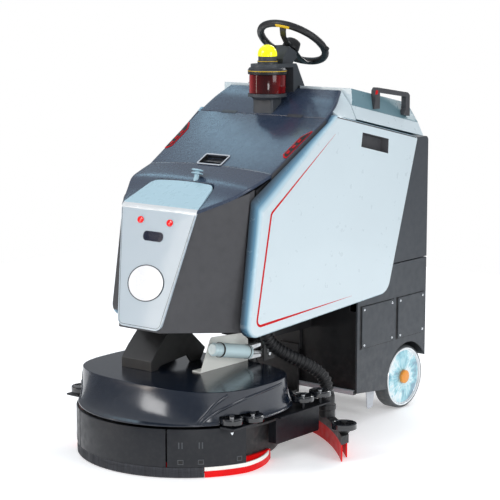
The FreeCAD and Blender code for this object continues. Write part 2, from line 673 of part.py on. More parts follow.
def build_steering_wheel():
    lean = -size("wheel_tilt")
    place = FreeCAD.Placement(V(0, size("wheel_y"), size("wheel_z")),
                              FreeCAD.Rotation(V(1, 0, 0), lean))
    rim = Part.makeTorus(size("rim_r"), size("rim_section"))
    reach = size("rim_r")
    spokes = []
    for angle in SPOKE_ANGLES:
        bar = Part.makeBox(reach - 20, 26, 9, V(20, -13, -30))
        rise = Part.makeBox(34, 26, 9, V(0, -13, 0))
        rise.rotate(V(0, 0, 0), V(0, 1, 0), -38)
        rise.translate(V(reach - 34, 0, -28))
        bar = bar.common(Part.makeCylinder(reach - 26, 20, V(0, 0, -36)))
        for solid in (bar, rise):
            solid.rotate(V(0, 0, 0), V(0, 0, 1), angle)
            spokes.append(solid)
    wheel = shaped("wheel_ring", rim.fuse(spokes).removeSplitter(), place)
    boss = turned("wheel_boss", [
        ("0", "-33.5"), ("30", "-33.5"), ("30", "-16"), ("33", "-9"), ("31", "2"), ("24", "7"),
        ("0", "8")], ("0", "wheel_y", "wheel_z"), (1, 0, 0, lean))
    keep("steering_wheel", fuse("steering_wheel", [wheel, boss]))


def build_drive_wheel():
    y = "drive_axle_y"
    stem = rod("steer_stem", "23.95", "44", ("0", y, "338"))
    head = rod("fork_head", "46", "14", ("0", y, "324"))
    bridge = block("fork_bridge", ("112", "70", "14"), ("-56", y + " - 35", "210"))
    neck = rod("fork_neck", "30", "102", ("0", y, "223"))
    cheeks = [plate("cheek_%s" % side, "YZ", [
        (y + " - 22", "80"), (y + " + 22", "80"), (y + " + 35", "212"), (y + " - 35", "212")],
        "8", span(sign, "48", "56"), circles=[(y, "drive_wheel_r", "8.05")],
        corners={0: "20", 1: "20"}) for side, sign in sides()]
    keep("steer_fork", fuse("steer_fork", [stem, head, neck, bridge] + cheeks))
    lay = (0, 1, 0, 90)
    place = ("0 - drive_wheel_w/2", y, "drive_wheel_r")
    width = "drive_wheel_w"
    keep("drive_tyre", turned("drive_tyre", [
        ("70", "0"), ("drive_wheel_r - 6", "0"), ("drive_wheel_r", "6"),
        ("drive_wheel_r", width + " - 6"), ("drive_wheel_r - 6", width), ("70", width)],
        place, lay))
    hub = turned("drive_core", [("0", "3"), ("70", "3"), ("70", width + " - 3"),
                                ("0", width + " - 3")], place, lay)
    axle = rod("drive_axle", "8", "116", ("-58", y, "drive_wheel_r"), "X")
    keep("drive_hub", fuse("drive_hub", [hub, axle]))


def build_rear_wheels():
    wide = "rear_tyre_w"
    for side, sign in sides():
        lay = (0, 1, 0, 90 * sign)
        start = "rear_wheel_out - rear_tyre_w"
        place = (start if sign > 0 else "-1*(%s)" % start, "rear_axle_y", "rear_wheel_r")
        keep("rear_tyre_" + side, turned("rear_tyre_" + side, [
            ("106", "4"), ("rear_wheel_r - 6", "0"), ("rear_wheel_r", "7"),
            ("rear_wheel_r", wide + " - 7"), ("rear_wheel_r - 6", wide), ("106", wide + " - 3")],
            place, lay))
        rim = turned("rear_rim_" + side, [
            ("12.05", "20"), ("96", "20"), ("96", "8"), ("106", "8"), ("106", wide + " - 3"),
            ("98", wide), ("94", wide + " - 8"), ("24", wide + " - 4"), ("12.05", wide + " - 4")],
            place, lay)
        cap = turned("hub_cap_" + side, [
            ("0", wide + " - 4"), ("22", wide + " - 4"), ("22", wide + " + 3"),
            ("17", wide + " + 8"), ("0", wide + " + 9")], place, lay)
        keep("rear_hub_" + side, fuse("rear_hub_" + side, [rim, cap]))


# ---------------------------------------------------------------- brush deck

def arc_panel(name, low_angle, high_angle, profile):
    """Part of a ring about the deck's middle; angles from the front, to the right."""
    return turned(name, profile, ("0", "deck_y", "0"), None, high_angle - low_angle,
                  low_angle - 90)


def dome_shape(inset, floor):
    """Domed cover: a round foot drawn up to a flatter oval top, with a square back."""
    wires = []
    for level, across, ahead, back_x, back_y in (
            (size("dome_low") - floor, size("dome_r"), size("dome_r"),
             size("deck_back_x") + 30, size("deck_back") + 12),
            (size("dome_high") - inset, size("dome_top_x"), size("dome_top_y"),
             size("deck_back_x"), size("deck_back"))):
        across, ahead = across - inset, ahead - inset
        back_x, back_y = back_x - inset, back_y - inset
        middle = V(0, size("deck_y"), level)
        front = V(0, size("deck_y") - ahead, level)
        left = V(-across, size("deck_y"), level)
        right = V(across, size("deck_y"), level)
        if across > ahead:
            bow = Part.ArcOfEllipse(Part.Ellipse(right, front, middle), 0, math.pi)
        else:
            bow = Part.Arc(right, front, left)
        corners = [left, V(-back_x, back_y, level), V(back_x, back_y, level), right]
        edges = [bow.toShape()] + [Part.LineSegment(a, b).toShape()
                                   for a, b in zip(corners, corners[1:])]
        wires.append(Part.Wire(edges))
    return Part.makeLoft(wires, True, True)


def roller_places():
    """Side rollers of the deck: name, x, y."""
    places = []
    for side, sign in sides():
        for number, (x, y) in enumerate(((354, -520), (383, -443), (371, -146), (374, -50)), 1):
            places.append(("roller_%s_%d" % (side, number), sign * x, y))
    return places


def build_deck():
    wall = [("ring_in", "ring_low"), ("ring_r", "ring_low"), ("ring_r", "ring_high - 4"),
            ("ring_r - 3", "ring_high"), ("ring_in - 14", "ring_high"),
            ("ring_in - 14", "ring_high - 4"), ("ring_in", "ring_high - 4")]
    keep("deck_panel_front", arc_panel("deck_panel_front", -30.8, 30.8, wall))
    keep("deck_panel_right", arc_panel("deck_panel_right", 31.2, 72, wall))
    keep("deck_panel_left", arc_panel("deck_panel_left", -72, -31.2, wall))
    keep("bristle_strip", arc_panel("bristle_strip", -72, 72, [
        ("ring_in + 1", "2"), ("ring_r - 1.5", "2"), ("ring_r - 1", "ring_low"),
        ("ring_in + 0.5", "ring_low")]))
    skirt = "skirt_r"
    band = arc_panel("splash_skirt", -128, 128, [
        (skirt + " - 5", "22"), (skirt, "22"), (skirt, "plate_z"), (skirt + " - 5", "plate_z")])
    keep("splash_lip", arc_panel("splash_lip", -128, 128, [
        (skirt, "40"), (skirt, "8"), (skirt + " + 7", "0.5"), (skirt + " + 11", "0.5"),
        (skirt + " + 4.5", "10"), (skirt + " + 4.5", "40")]))
    outline = Part.makeCylinder(size("ring_in") - 14.5, size("plate_t"), V(0, size("deck_y"),
                                                                          size("plate_z")))
    trim = Part.makeBox(1000, 600, 60, V(-500, size("deck_back") + 4, size("plate_z") - 20))
    holes = [Part.makeCylinder(30, 60, V(s * size("brush_x"), size("brush_y"),
                                         size("plate_z") - 20)) for s in (1, -1)]
    floor = shaped("deck_floor", outline.cut([trim] + holes))
    rooms = [block("guard_room_" + side, ("60", "240", "40"),
                   (span(sign, "335.5", "395.5"), "-300", "140")) for side, sign in sides()]
    keep("deck_plate", cut("deck_plate", fuse("deck_sheets", [floor, band]), rooms))
    shell = dome_shape(0, 6).cut(dome_shape(size("dome_skin"), 7))
    rooms = [Part.makeCylinder(45, 50, V(x, y, size("dome_low") - 8))
             for _, x, y in roller_places()]
    rooms += [Part.makeBox(62, 132, 8, V(334 if sign > 0 else -396, -561, 169.5))
              for _, sign in sides()]
    keep("deck_dome", shaped("deck_dome", shell.cut(rooms)))
    motors = []
    for side, sign in sides():
        can = rod("brush_can_" + side, "62", "110", ("%d*brush_x" % sign, "brush_y",
                                                     "plate_z + plate_t"))
        spindle = rod("spindle_" + side, "11.95", "60", ("%d*brush_x" % sign, "brush_y",
                                                         "plate_z + plate_t - 59"))
        motors += [can, spindle]
        build_side_guard(side, sign)
        keep("brush_" + side, turned("brush_" + side, [
            ("60", "0"), ("brush_r", "0"), ("brush_r - 4", "45"), ("brush_r - 8", "62"),
            ("30", "62"), ("30", "130"), ("12", "130"), ("12", "50"), ("56", "45")],
            ("%d*brush_x" % sign, "brush_y", "0")))
    keep("brush_motors", fuse("brush_motors", motors))
    build_lift()


def build_side_guard(side, sign):
    """Guard box beside the deck's back, the ledges for its rollers and their pins."""
    case = plate("guard_case_" + side, "YZ", [("-298", "62"), ("-48", "62"), ("-48", "158"),
                                              ("-298", "158")], "34",
                 span(sign, "336", "370"), corners={0: "8", 1: "8"})
    ledge = block("guard_ledge_" + side, ("92", "293", "6"),
                  (span(sign, "300", "392"), "-298", "158"))
    tab = block("roller_tab_" + side, ("60", "130", "6"),
                (span(sign, "335", "395"), "-560", "ring_high"))
    pieces = [case, ledge, tab]
    for name, x, y in roller_places():
        if x * sign > 0:
            foot = LEDGE_TOP if y > -300 else TAB_TOP
            low = roller_low(y)
            pieces.append(rod(name + "_pin", "5.95", "%g - %g" % (low + 24, foot),
                              (str(x), str(y), str(foot))))
            pieces.append(turned(name + "_screw", [("0", "0"), ("11", "0"), ("9", "4"),
                                                   ("0", "5")], (str(x), str(y), str(low + 24))))
    keep("side_guard_" + side, fuse("side_guard_" + side, pieces))


LEDGE_TOP = 164
TAB_TOP = 176


def roller_low(y):
    """Height of a roller's lower face, above its ledge."""
    return 190 if y > -300 else 182


def build_rollers():
    for name, x, y in roller_places():
        turned_roller(name, str(x), str(y), str(roller_low(y)), 40)


def turned_roller(name, x, y, low, radius):
    keep(name, turned(name, [
        ("6", "0"), ("%g - 5" % radius, "0"), ("%g" % radius, "5"), ("%g" % radius, "17"),
        ("%g - 5" % radius, "22"), ("14", "22"), ("12", "19"), ("6", "19")], (x, y, low)))


def build_lift():
    """Bracket, white plate and linear actuator that hang the deck from the chassis."""
    cheek = [("-474", "dome_high"), ("-474", "326"), ("-440", "366"), ("-392", "412"),
             ("-292", "430"), ("-180", "330"), ("-205", "dome_high"), ("-262", "dome_high"),
             ("-283", "318"), ("-425", "304"), ("-440", "dome_high")]
    cheeks = [plate("lift_cheek_%d" % i, "YZ", cheek, "7", x)
              for i, x in enumerate(("-199", "-62"))]
    web = plate("lift_web", "YZ", [("-474", "dome_high"), ("-474", "326"), ("-440", "366"),
                                   ("-392", "412"), ("-384", "404"), ("-430", "352"),
                                   ("-450", "304"), ("-450", "dome_high")], "137", "-199")
    keep("lift_bracket", fuse("lift_bracket", cheeks + [web]))
    stay = plate("white_stay", "YZ", [("-376", "dome_high"), ("-319", "410"), ("-150", "398"),
                                      ("-112", "370"), ("-112", "dome_high")], "4", "88",
                 corners={1: "14", 2: "10"})
    foot = block("stay_foot", ("40", "262", "4"), ("52", "-376", "dome_high"))
    keep("lift_stay", fuse("lift_stay", [stay, foot]))
    axis_x, slope = "124", (1, 0, 0, -102.2)
    body = turned("actuator_tube", [("0", "0"), ("18", "0"), ("24", "6"), ("24", "40"),
                                    ("26", "46"), ("26", "206"), ("7", "212"), ("7", "300"),
                                    ("0", "300")], (axis_x, "-352", "377"), slope)
    prongs = [plate("fork_prong_%d" % number, "YZ", outline, "24", axis_x + " - 12")
              for number, outline in enumerate((
                  [("-160", "358"), ("-92", "358"), ("-92", "347"), ("-160", "340")],
                  [("-160", "309"), ("-92", "307"), ("-92", "317"), ("-160", "326")]))]
    mount = block("actuator_mount", ("14", "40", "24"), ("92", "-284", "346"))
    eye = rod("rod_eye", "16", "20", ("114", "-53", "312.5"), "X")
    pin = rod("eye_pin", "6", "48", ("100", "-53", "312.5"), "X")
    keep("lift_actuator", fuse("lift_actuator", [body, mount, eye, pin] + prongs))


# ---------------------------------------------------------------- squeegee and hose

def squeegee_y(x):
    """The squeegee's plan is a parabola: its middle is furthest back."""
    drop = (size("squeegee_back") - size("squeegee_tip_y")) / size("squeegee_tip_x") ** 2
    return size("squeegee_back") - drop * x * x


def squeegee_band(reach, ahead, behind, low, high):
    """A band along the parabola, from ahead to behind of it, low to high."""
    edges = []
    for shift in (ahead, behind):
        points = [V(reach * step / 6, squeegee_y(reach * step / 6) + shift, low)
                  for step in range(-6, 7)]
        curve = Part.BSplineCurve()
        curve.interpolate(points)
        edges.append((curve.toShape(), points))
    (front, a), (back, b) = edges
    ends = [Part.LineSegment(a[0], b[0]).toShape(), Part.LineSegment(a[-1], b[-1]).toShape()]
    wire = Part.Wire(Part.__sortEdges__([front, back] + ends))
    return Part.Face(wire).extrude(V(0, 0, high - low))


def build_squeegee():
    reach = size("squeegee_tip_x")
    half, low, high = size("beam_half"), size("beam_low"), size("beam_high")
    beam = squeegee_band(reach - 8, -half, half, low, high)
    arm = Part.makeBox(90, 80, 12, V(-45, squeegee_y(0) + 2, high))
    riser = Part.makeBox(90, 9, 190, V(-45, 250.5, high))
    pieces = [arm, riser]
    for sign in (1, -1):
        x, y = sign * 517, squeegee_y(517) + 4
        pieces.append(Part.makeCylinder(20, 10, V(x, y, high)))
        pieces.append(Part.makeCylinder(5.95, 38, V(x, y, high)))
        pieces.append(Part.makeCylinder(11, 4, V(x, y, high + 36)))
        keep_roller = "squeegee_roller_right" if sign > 0 else "squeegee_roller_left"
        turned_roller(keep_roller, str(x), "%.3f" % y, "%g" % (high + 12), 45)
    keep("squeegee_beam", shaped("squeegee_beam", beam.fuse(pieces)))
    gap, thick = size("blade_offset"), size("blade_t")
    blades = [squeegee_band(reach, side - thick / 2, side + thick / 2, 0.3, low)
              for side in (-gap, gap)]
    keep("squeegee_blades", shaped("squeegee_blades", Part.makeCompound(blades)))
    keep("suction_elbow", turned("suction_elbow", [
        ("0", "beam_high"), ("30", "beam_high"), ("30", "beam_high + 26"), ("33", "beam_high + 28"),
        ("33", "beam_high + 44"), ("28", "beam_high + 48"), ("28", "elbow_top - 8"),
        ("25", "elbow_top"), ("0", "elbow_top")], ("elbow_x", "elbow_y", "0")))


HOSE_ROUTE = [(342, 38, 178), (342, 38, 216), (324, 18, 264), (288, -36, 314),
              (250, -100, 350), (222, -150, 392), (215, -178, 440), (215, -178, 486)]


def build_hose():
    """Suction hose: straight runs joined by tangent arcs, from the elbow to the tank."""
    route = [V(*point) for point in HOSE_ROUTE]
    edges = []
    start = route[0]
    for before, corner, after in zip(route, route[1:], route[2:]):
        back, ahead = before - corner, after - corner
        shorter = min(back.Length, ahead.Length)
        turn = math.pi - back.getAngle(ahead)
        radius = 0.45 * shorter / math.tan(turn / 2)
        print("hose radius %.0f" % radius)
        back.normalize()
        ahead.normalize()
        inward = (back + ahead).normalize()
        first, last = corner + back * (0.45 * shorter), corner + ahead * (0.45 * shorter)
        middle = corner + inward * (radius / math.cos(turn / 2) - radius)
        edges.append(Part.LineSegment(start, first).toShape())
        edges.append(Part.Arc(first, middle, last).toShape())
        start = last
    edges.append(Part.LineSegment(start, route[-1]).toShape())
    path = Part.Wire(edges)
    ring = Part.Wire([Part.makeCircle(size("hose_r"), route[0], route[1] - route[0])])
    tube = path.makePipeShell([ring], True, False)
    wanted = math.pi * size("hose_r") ** 2 * path.Length
    assert abs(tube.Volume / wanted - 1) < 0.02, "the hose's volume is off"
    print("hose length %.0f" % path.Length)
    keep("suction_hose", shaped("suction_hose", tube))


def main():
    fill_sheet()
    build_chassis()
    build_lower_covers()
    build_tank()
    build_side_panels()
    build_front()
    build_hood_lid()
    build_top_cover()
    build_tower()
    build_tank_lid()
    build_steering_wheel()
    build_drive_wheel()
    build_rear_wheels()
    build_deck()
    build_rollers()
    build_squeegee()
    build_hose()
    finish()


def finish():
    doc.recompute()
    for piece in doc.Objects:
        if "Invalid" in piece.State or "Error" in piece.State:
            raise RuntimeError("%s did not build: %s" % (piece.Name, piece.State))
    for name, piece in nodes.items():
        shape = piece.Shape
        if shape.isNull() or not shape.isValid() or not shape.Solids:
            raise RuntimeError(name + " has no valid solid")
    for name, piece in nodes.items():
        piece.Shape.exportStep("parts/%s.step" % name)
    print(len(nodes), "sub-parts")


main()
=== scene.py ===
import json
import math
import random

import bmesh
import bpy
from mathutils import Matrix, Vector


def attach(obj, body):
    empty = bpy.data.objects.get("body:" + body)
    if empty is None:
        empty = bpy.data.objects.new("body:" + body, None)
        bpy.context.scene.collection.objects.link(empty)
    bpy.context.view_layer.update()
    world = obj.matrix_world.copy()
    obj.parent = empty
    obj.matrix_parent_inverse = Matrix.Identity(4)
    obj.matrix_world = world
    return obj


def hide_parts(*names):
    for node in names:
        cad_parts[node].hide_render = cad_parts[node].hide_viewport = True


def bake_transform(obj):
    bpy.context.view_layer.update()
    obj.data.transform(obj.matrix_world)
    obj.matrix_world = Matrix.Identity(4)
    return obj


# Robotic floor scrubber. Metres; +Z up, front towards -Y, origin on the floor.
# Lengths in the calls below are millimetres, turned into metres by P and MM; angles are degrees.

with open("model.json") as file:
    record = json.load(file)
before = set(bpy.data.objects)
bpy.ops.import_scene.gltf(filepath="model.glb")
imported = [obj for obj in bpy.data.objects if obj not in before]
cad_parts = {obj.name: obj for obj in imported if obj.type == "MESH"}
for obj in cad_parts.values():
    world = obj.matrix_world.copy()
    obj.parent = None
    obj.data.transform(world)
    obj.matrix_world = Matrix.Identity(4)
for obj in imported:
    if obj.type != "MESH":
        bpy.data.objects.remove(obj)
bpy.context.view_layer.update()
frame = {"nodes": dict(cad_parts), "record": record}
record = frame["record"]
MM = 0.001
BODY = {n: b for b, ns in record["behaviour"]["bodies"].items() for n in ns}
SIDES = (("right", 1), ("left", -1))
SQUARE = ((-1, -1), (1, -1), (1, 1), (-1, 1))


def P(x, y, z):
    return Vector((x * MM, y * MM, z * MM))


def lin(r, g, b):
    """sRGB 0-255 to the linear colour that a shader takes."""
    out = []
    for c in (r / 255, g / 255, b / 255):
        out.append(c / 12.92 if c <= 0.04045 else ((c + 0.055) / 1.055) ** 2.4)
    return (*out, 1.0)


def turned(angle, axis="X"):
    return Matrix.Rotation(math.radians(angle), 3, axis)


def placed(at, turn):
    """A 4 x 4 matrix from a place in metres and a turn."""
    return Matrix.Translation(at) @ turn.to_4x4()


def facing(sign):
    """The turn whose Z points out of the right side (1) or the left side (-1)."""
    return Matrix(((0, 0, sign), (1, 0, 0), (0, 1, 0)))


BACKWARD = Matrix(((-1, 0, 0), (0, 0, 1), (0, 1, 0)))


# ---------------------------------------------------------------- materials

class Nodes:
    """A short way to write one material's node tree."""

    def __init__(self, name):
        self.material = bpy.data.materials.new(name)
        self.material.use_nodes = True
        self.tree = self.material.node_tree
        self.shader = self.tree.nodes["Principled BSDF"]
        self.place = self.add("ShaderNodeTexCoord").outputs["Object"]

    def add(self, kind, **values):
        node = self.tree.nodes.new(kind)
        for key, value in values.items():
            setattr(node, key, value)
        return node

    def link(self, a, b):
        self.tree.links.new(a, b)

    def feed(self, socket, value):
        """Give a socket a plain value, or link another node's output to it."""
        if isinstance(value, (int, float, tuple)):
            socket.default_value = value
        else:
            self.link(value, socket)

    def noise(self, scale, detail=3.0, stretch=None, distortion=0.0, place=None):
        node = self.add("ShaderNodeTexNoise")
        for key, value in (("Scale", scale), ("Detail", detail), ("Distortion", distortion)):
            node.inputs[key].default_value = value
        if stretch:
            mapping = self.add("ShaderNodeMapping")
            mapping.inputs["Scale"].default_value = stretch
            self.link(self.place, mapping.inputs["Vector"])
            place = mapping.outputs["Vector"]
        self.link(place or self.place, node.inputs["Vector"])
        return node.outputs["Fac"]

    def ramp(self, factor, stops):
        node = self.add("ShaderNodeValToRGB")
        ramp = node.color_ramp
        while len(ramp.elements) < len(stops):
            ramp.elements.new(0.5)
        for element, (at, color) in zip(ramp.elements, stops):
            element.position = at
            element.color = color
        self.link(factor, node.inputs["Fac"])
        return node.outputs["Color"]

    def scaled(self, factor, low, high, start=0.0, end=1.0):
        node = self.add("ShaderNodeMapRange")
        for key, value in (("From Min", start), ("From Max", end), ("To Min", low),
                           ("To Max", high)):
            node.inputs[key].default_value = value
        self.link(factor, node.inputs["Value"])
        return node.outputs["Result"]

    def mix(self, factor, a, b):
        node = self.add("ShaderNodeMix", data_type="RGBA")
        for key, value in (("A", a), ("B", b), ("Factor", factor)):
            self.feed(node.inputs[key], value)
        return node.outputs["Result"]

    def math(self, operation, a, b=0.0):
        node = self.add("ShaderNodeMath", operation=operation)
        self.feed(node.inputs[0], a)
        self.feed(node.inputs[1], b)
        return node.outputs[0]

    def axes(self):
        node = self.add("ShaderNodeSeparateXYZ")
        self.link(self.place, node.inputs[0])
        return node.outputs

    def bump(self, height, strength, distance):
        node = self.add("ShaderNodeBump")
        node.inputs["Strength"].default_value = strength
        node.inputs["Distance"].default_value = distance
        self.link(height, node.inputs["Height"])
        return node.outputs["Normal"]

    def set(self, **values):
        for key, value in values.items():
            self.shader.inputs[key.replace("_", " ")].default_value = value

    def to(self, socket, output):
        self.link(output, self.shader.inputs[socket])


def shade(color, factor):
    return tuple(min(1.0, c * factor) for c in color[:3]) + (1.0,)


def finish_of(name, color, rough, metallic=0.0, coat=0.0, coat_rough=0.05, spread=0.06,
              grain=(700, 0.12, 0.00015), mottle=9.0, rough_spread=0.25, dust=0.0,
              streak=None, specular=0.5, glow=0.0, glow_color=(0.9, 0.95, 0.94, 1)):
    """A moulded or painted finish: soft colour drift, uneven gloss, fine grain, some dust."""
    n = Nodes(name)
    n.set(Metallic=metallic, Coat_Weight=coat, Coat_Roughness=coat_rough,
          Specular_IOR_Level=specular)
    if glow:
        n.set(Emission_Color=glow_color, Emission_Strength=glow)
    drift = n.noise(mottle, 4.0, streak)
    tone = n.ramp(drift, [(0.3, shade(color, 1 - spread)), (0.7, shade(color, 1 + spread))])
    if dust:
        low = n.scaled(n.axes()["Z"], 1.0, 0.0, 0.0, 0.35)
        specks = n.math("MULTIPLY", n.scaled(n.noise(60, 6.0), 0.0, 1.0, 0.45, 0.75), low)
        tone = n.mix(n.math("MULTIPLY", specks, dust), tone, lin(150, 146, 140))
    n.to("Base Color", tone)
    n.to("Roughness", n.scaled(n.noise(35, 5.0, streak), rough * (1 - rough_spread),
                               rough * (1 + rough_spread), 0.3, 0.7))
    scale, strength, distance = grain
    n.to("Normal", n.bump(n.noise(scale, 2.0, streak), strength, distance))
    return n.material


# grain is (noise scale, bump strength, bump distance in metres)
FAINT = (60, 0.008, 0.0003)
FINISHES = {
    "white": ("panel_white", (208, 221, 226), 0.3, dict(
        coat=0.25, spread=0.012, grain=FAINT, mottle=3, rough_spread=0.1)),
    "shell": ("shell_grey", (66, 66, 69), 0.55, dict(
        spread=0.05, grain=(1300, 0.35, 0.00018), mottle=6)),
    "cover": ("cover_grey", (63, 67, 72), 0.45, dict(
        spread=0.05, grain=(1100, 0.3, 0.00016), mottle=5, dust=0.18)),
    "slate": ("slate_gloss", (50, 62, 82), 0.27, dict(
        coat=0.3, coat_rough=0.15, spread=0.03, grain=FAINT, mottle=3, rough_spread=0.12)),
    "silver": ("fascia_silver", (176, 189, 198), 0.34, dict(
        metallic=0.1, coat=0.3, spread=0.008, grain=FAINT, mottle=2, rough_spread=0.1)),
    "pale_blue": ("insert_blue", (176, 207, 219), 0.3, dict(
        coat=0.3, spread=0.015, grain=(900, 0.05, 0.0001), mottle=5)),
    "dome": ("dome_gloss", (17, 26, 40), 0.2, dict(
        coat=0.4, coat_rough=0.14, spread=0.05, grain=FAINT, mottle=5, rough_spread=0.15,
        dust=0.05)),
    "ring": ("ring_satin", (27, 29, 34), 0.38, dict(
        specular=0.35, spread=0.03, grain=(900, 0.2, 0.00015), mottle=8, dust=0.03)),
    "black": ("black_paint", (26, 26, 28), 0.42, dict(
        spread=0.12, grain=(600, 0.25, 0.0002), mottle=14, dust=0.12)),
    "black_gloss": ("black_gloss", (20, 22, 27), 0.16, dict(
        coat=0.8, spread=0.1, grain=(200, 0.05, 0.0003), mottle=10)),
    "bracket": ("bracket_dark", (44, 44, 45), 0.4, dict(
        spread=0.08, grain=(500, 0.25, 0.0003), mottle=12)),
    "rubber": ("black_rubber", (24, 24, 26), 0.5, dict(
        spread=0.15, grain=(400, 0.4, 0.0003), mottle=20, dust=0.1)),
    "tyre": ("tyre_rubber", (74, 78, 80), 0.6, dict(
        spread=0.08, grain=(380, 0.5, 0.0004), mottle=14, dust=0.25)),
    "red": ("red_rubber", (232, 2, 8), 0.45, dict(
        specular=0.2, spread=0.06, grain=(300, 0.12, 0.0002), mottle=18)),
    "red_ink": ("red_stripe", (200, 14, 24), 0.5, dict(
        specular=0.15, spread=0.03, grain=(800, 0.05, 0.0001))),
    "dark_ink": ("dark_line", (60, 66, 74), 0.4, dict(spread=0.05, grain=(800, 0.05, 0.0001))),
    "band": ("light_band", (196, 200, 206), 0.34, dict(
        spread=0.04, grain=(500, 0.15, 0.0002), dust=0.3)),
    # glow here is painted light: the white stay, lip bands and collars give off light to lift them
    # out of shade
    "sheet": ("stay_white_painted_glow", (238, 236, 228), 0.34, dict(
        spread=0.04, grain=(350, 0.2, 0.0002), mottle=12, coat=0.3, dust=0.1, glow=0.14)),
    "screw": ("screw_bright", (225, 229, 232), 0.25, dict(
        metallic=0.8, spread=0.05, grain=(900, 0.2, 0.0001))),
    # glow here is painted light: it brightens the actuator where it sits in shade
    "metal": ("actuator_metal_painted_glow", (214, 244, 250), 0.24, dict(
        coat=0.3, spread=0.06, grain=(700, 0.2, 0.0001), mottle=16, streak=(1, 0.15, 1),
        glow=0.1)),
    "rim": ("rim_bright", (232, 236, 238), 0.22, dict(
        metallic=0.35, coat=0.4, spread=0.03, grain=(700, 0.1, 0.0001))),
    "orange": ("cap_orange", (238, 150, 42), 0.34, dict(
        coat=0.3, spread=0.06, grain=(500, 0.15, 0.0002), mottle=30)),
    "badge": ("badge_white", (236, 237, 240), 0.25, dict(
        coat=0.6, spread=0.01, grain=(900, 0.04, 0.0001))),
    "yellow_ink": ("yellow_mark", (232, 190, 40), 0.35, dict(
        spread=0.05, grain=(500, 0.1, 0.0002))),
    "teal": ("lid_teal", (104, 136, 146), 0.34, dict(
        coat=0.2, spread=0.03, grain=(300, 0.05, 0.0002), mottle=4)),
    "void": ("dark_recess", (14, 13, 14), 0.5, dict(spread=0.2)),
    "bristle": ("bristles", (44, 46, 52), 0.6, dict(
        spread=0.5, mottle=240, grain=(900, 0.6, 0.0006), streak=(1, 1, 0.05))),
}
M = {key: finish_of(name, lin(*rgb), rough, **more)
     for key, (name, rgb, rough, more) in FINISHES.items()}


def lens(name, color, rough, glow=0.0):
    """A tinted moulding with faint flow marks, some of them lit from inside."""
    n = Nodes(name)
    n.set(Coat_Weight=0.6, Coat_Roughness=0.03, IOR=1.46)
    n.to("Base Color", n.ramp(n.noise(20, 3.0), [(0.3, shade(color, 0.92)),
                                                 (0.7, shade(color, 1.05))]))
    n.to("Roughness", n.scaled(n.noise(60), rough * 0.7, rough * 1.3, 0.3, 0.7))
    n.to("Normal", n.bump(n.noise(140, 2.0), 0.05, 0.0003))
    if glow:
        n.set(Emission_Color=color, Emission_Strength=glow)
    return n.material


def scanner_red():
    """Deep red window: darker in front of the dark drum, lighter towards its edges as seen, a
    painted sheen that follows the angle of view.
    """
    n = Nodes("scanner_red")
    n.set(Coat_Weight=0.25, Coat_Roughness=0.03, Specular_IOR_Level=0.25)
    edge = n.add("ShaderNodeLayerWeight")
    edge.inputs["Blend"].default_value = 0.35
    # painted sheen: the colour lightens where the window turns away from view
    tone = n.mix(edge.outputs["Facing"], lin(58, 2, 4), lin(235, 8, 14))
    bars = n.noise(26, 2.0, (1, 1, 0.02))
    n.to("Base Color", n.mix(n.scaled(bars, 0.0, 0.55, 0.45, 0.6), tone, lin(30, 2, 4)))
    n.to("Roughness", n.scaled(n.noise(50), 0.06, 0.14, 0.3, 0.7))
    n.to("Normal", n.bump(n.noise(90, 2.0), 0.03, 0.0003))
    return n.material


REAR_AXLE = (612, 125)      # y and z, millimetres


def foil_disc():
    """Wheel disc: bright blue-white foil with radial creases and soft cloudy patches."""
    n = Nodes("wheel_foil")
    n.set(Metallic=0.25, Coat_Weight=0.6, Coat_Roughness=0.08)
    axes = n.axes()
    up = n.math("SUBTRACT", axes["Z"], REAR_AXLE[1] * MM)
    back = n.math("SUBTRACT", axes["Y"], REAR_AXLE[0] * MM)
    angle = n.math("ARCTAN2", up, back)
    away = n.math("SQRT", n.math("ADD", n.math("MULTIPLY", up, up),
                                 n.math("MULTIPLY", back, back)))
    polar = n.add("ShaderNodeCombineXYZ")
    n.link(n.math("MULTIPLY", angle, 2.2), polar.inputs[0])
    n.link(n.math("MULTIPLY", away, 9.0), polar.inputs[1])
    rays = n.noise(2.6, 4.0, place=polar.outputs[0])
    cloud = n.noise(13, 5.0, None, 0.8)
    both = n.math("ADD", n.math("MULTIPLY", rays, 0.35), n.math("MULTIPLY", cloud, 0.65))
    n.to("Base Color", n.ramp(both, [
        (0.36, lin(120, 158, 176)), (0.44, lin(150, 206, 218)), (0.5, lin(196, 230, 236)),
        (0.58, lin(238, 246, 248)), (0.66, lin(170, 214, 224))]))
    n.to("Roughness", n.scaled(cloud, 0.16, 0.4, 0.3, 0.7))
    n.to("Normal", n.bump(both, 0.2, 0.0012))
    return n.material


def panel_return_painted_shade():
    """The panels' returns: white at the outer face, blue-grey and darker further in, a painted
    reflection and painted shade towards the inner corner by the shell.
    """
    n = Nodes("panel_return_painted_shade")
    n.set(Coat_Weight=0.2, Coat_Roughness=0.2)
    out = n.math("ABSOLUTE", n.axes()["X"])
    wobble = n.math("MULTIPLY", n.math("SUBTRACT", n.noise(4, 2.0), 0.5), 0.006)
    # painted shade and painted reflection: dark by the shell, blue-grey in the middle, white at the
    # outer face
    n.to("Base Color", n.ramp(n.scaled(n.math("ADD", out, wobble), 0.0, 1.0, 0.282, 0.328), [
        (0.0, lin(34, 42, 50)), (0.3, lin(58, 84, 102)), (0.62, lin(96, 140, 166)),
        (0.84, lin(176, 208, 222)), (1.0, lin(208, 221, 226))]))
    n.to("Roughness", n.scaled(n.noise(30), 0.16, 0.3, 0.3, 0.7))
    n.to("Normal", n.bump(n.noise(160, 2.0), 0.05, 0.0003))
    return n.material


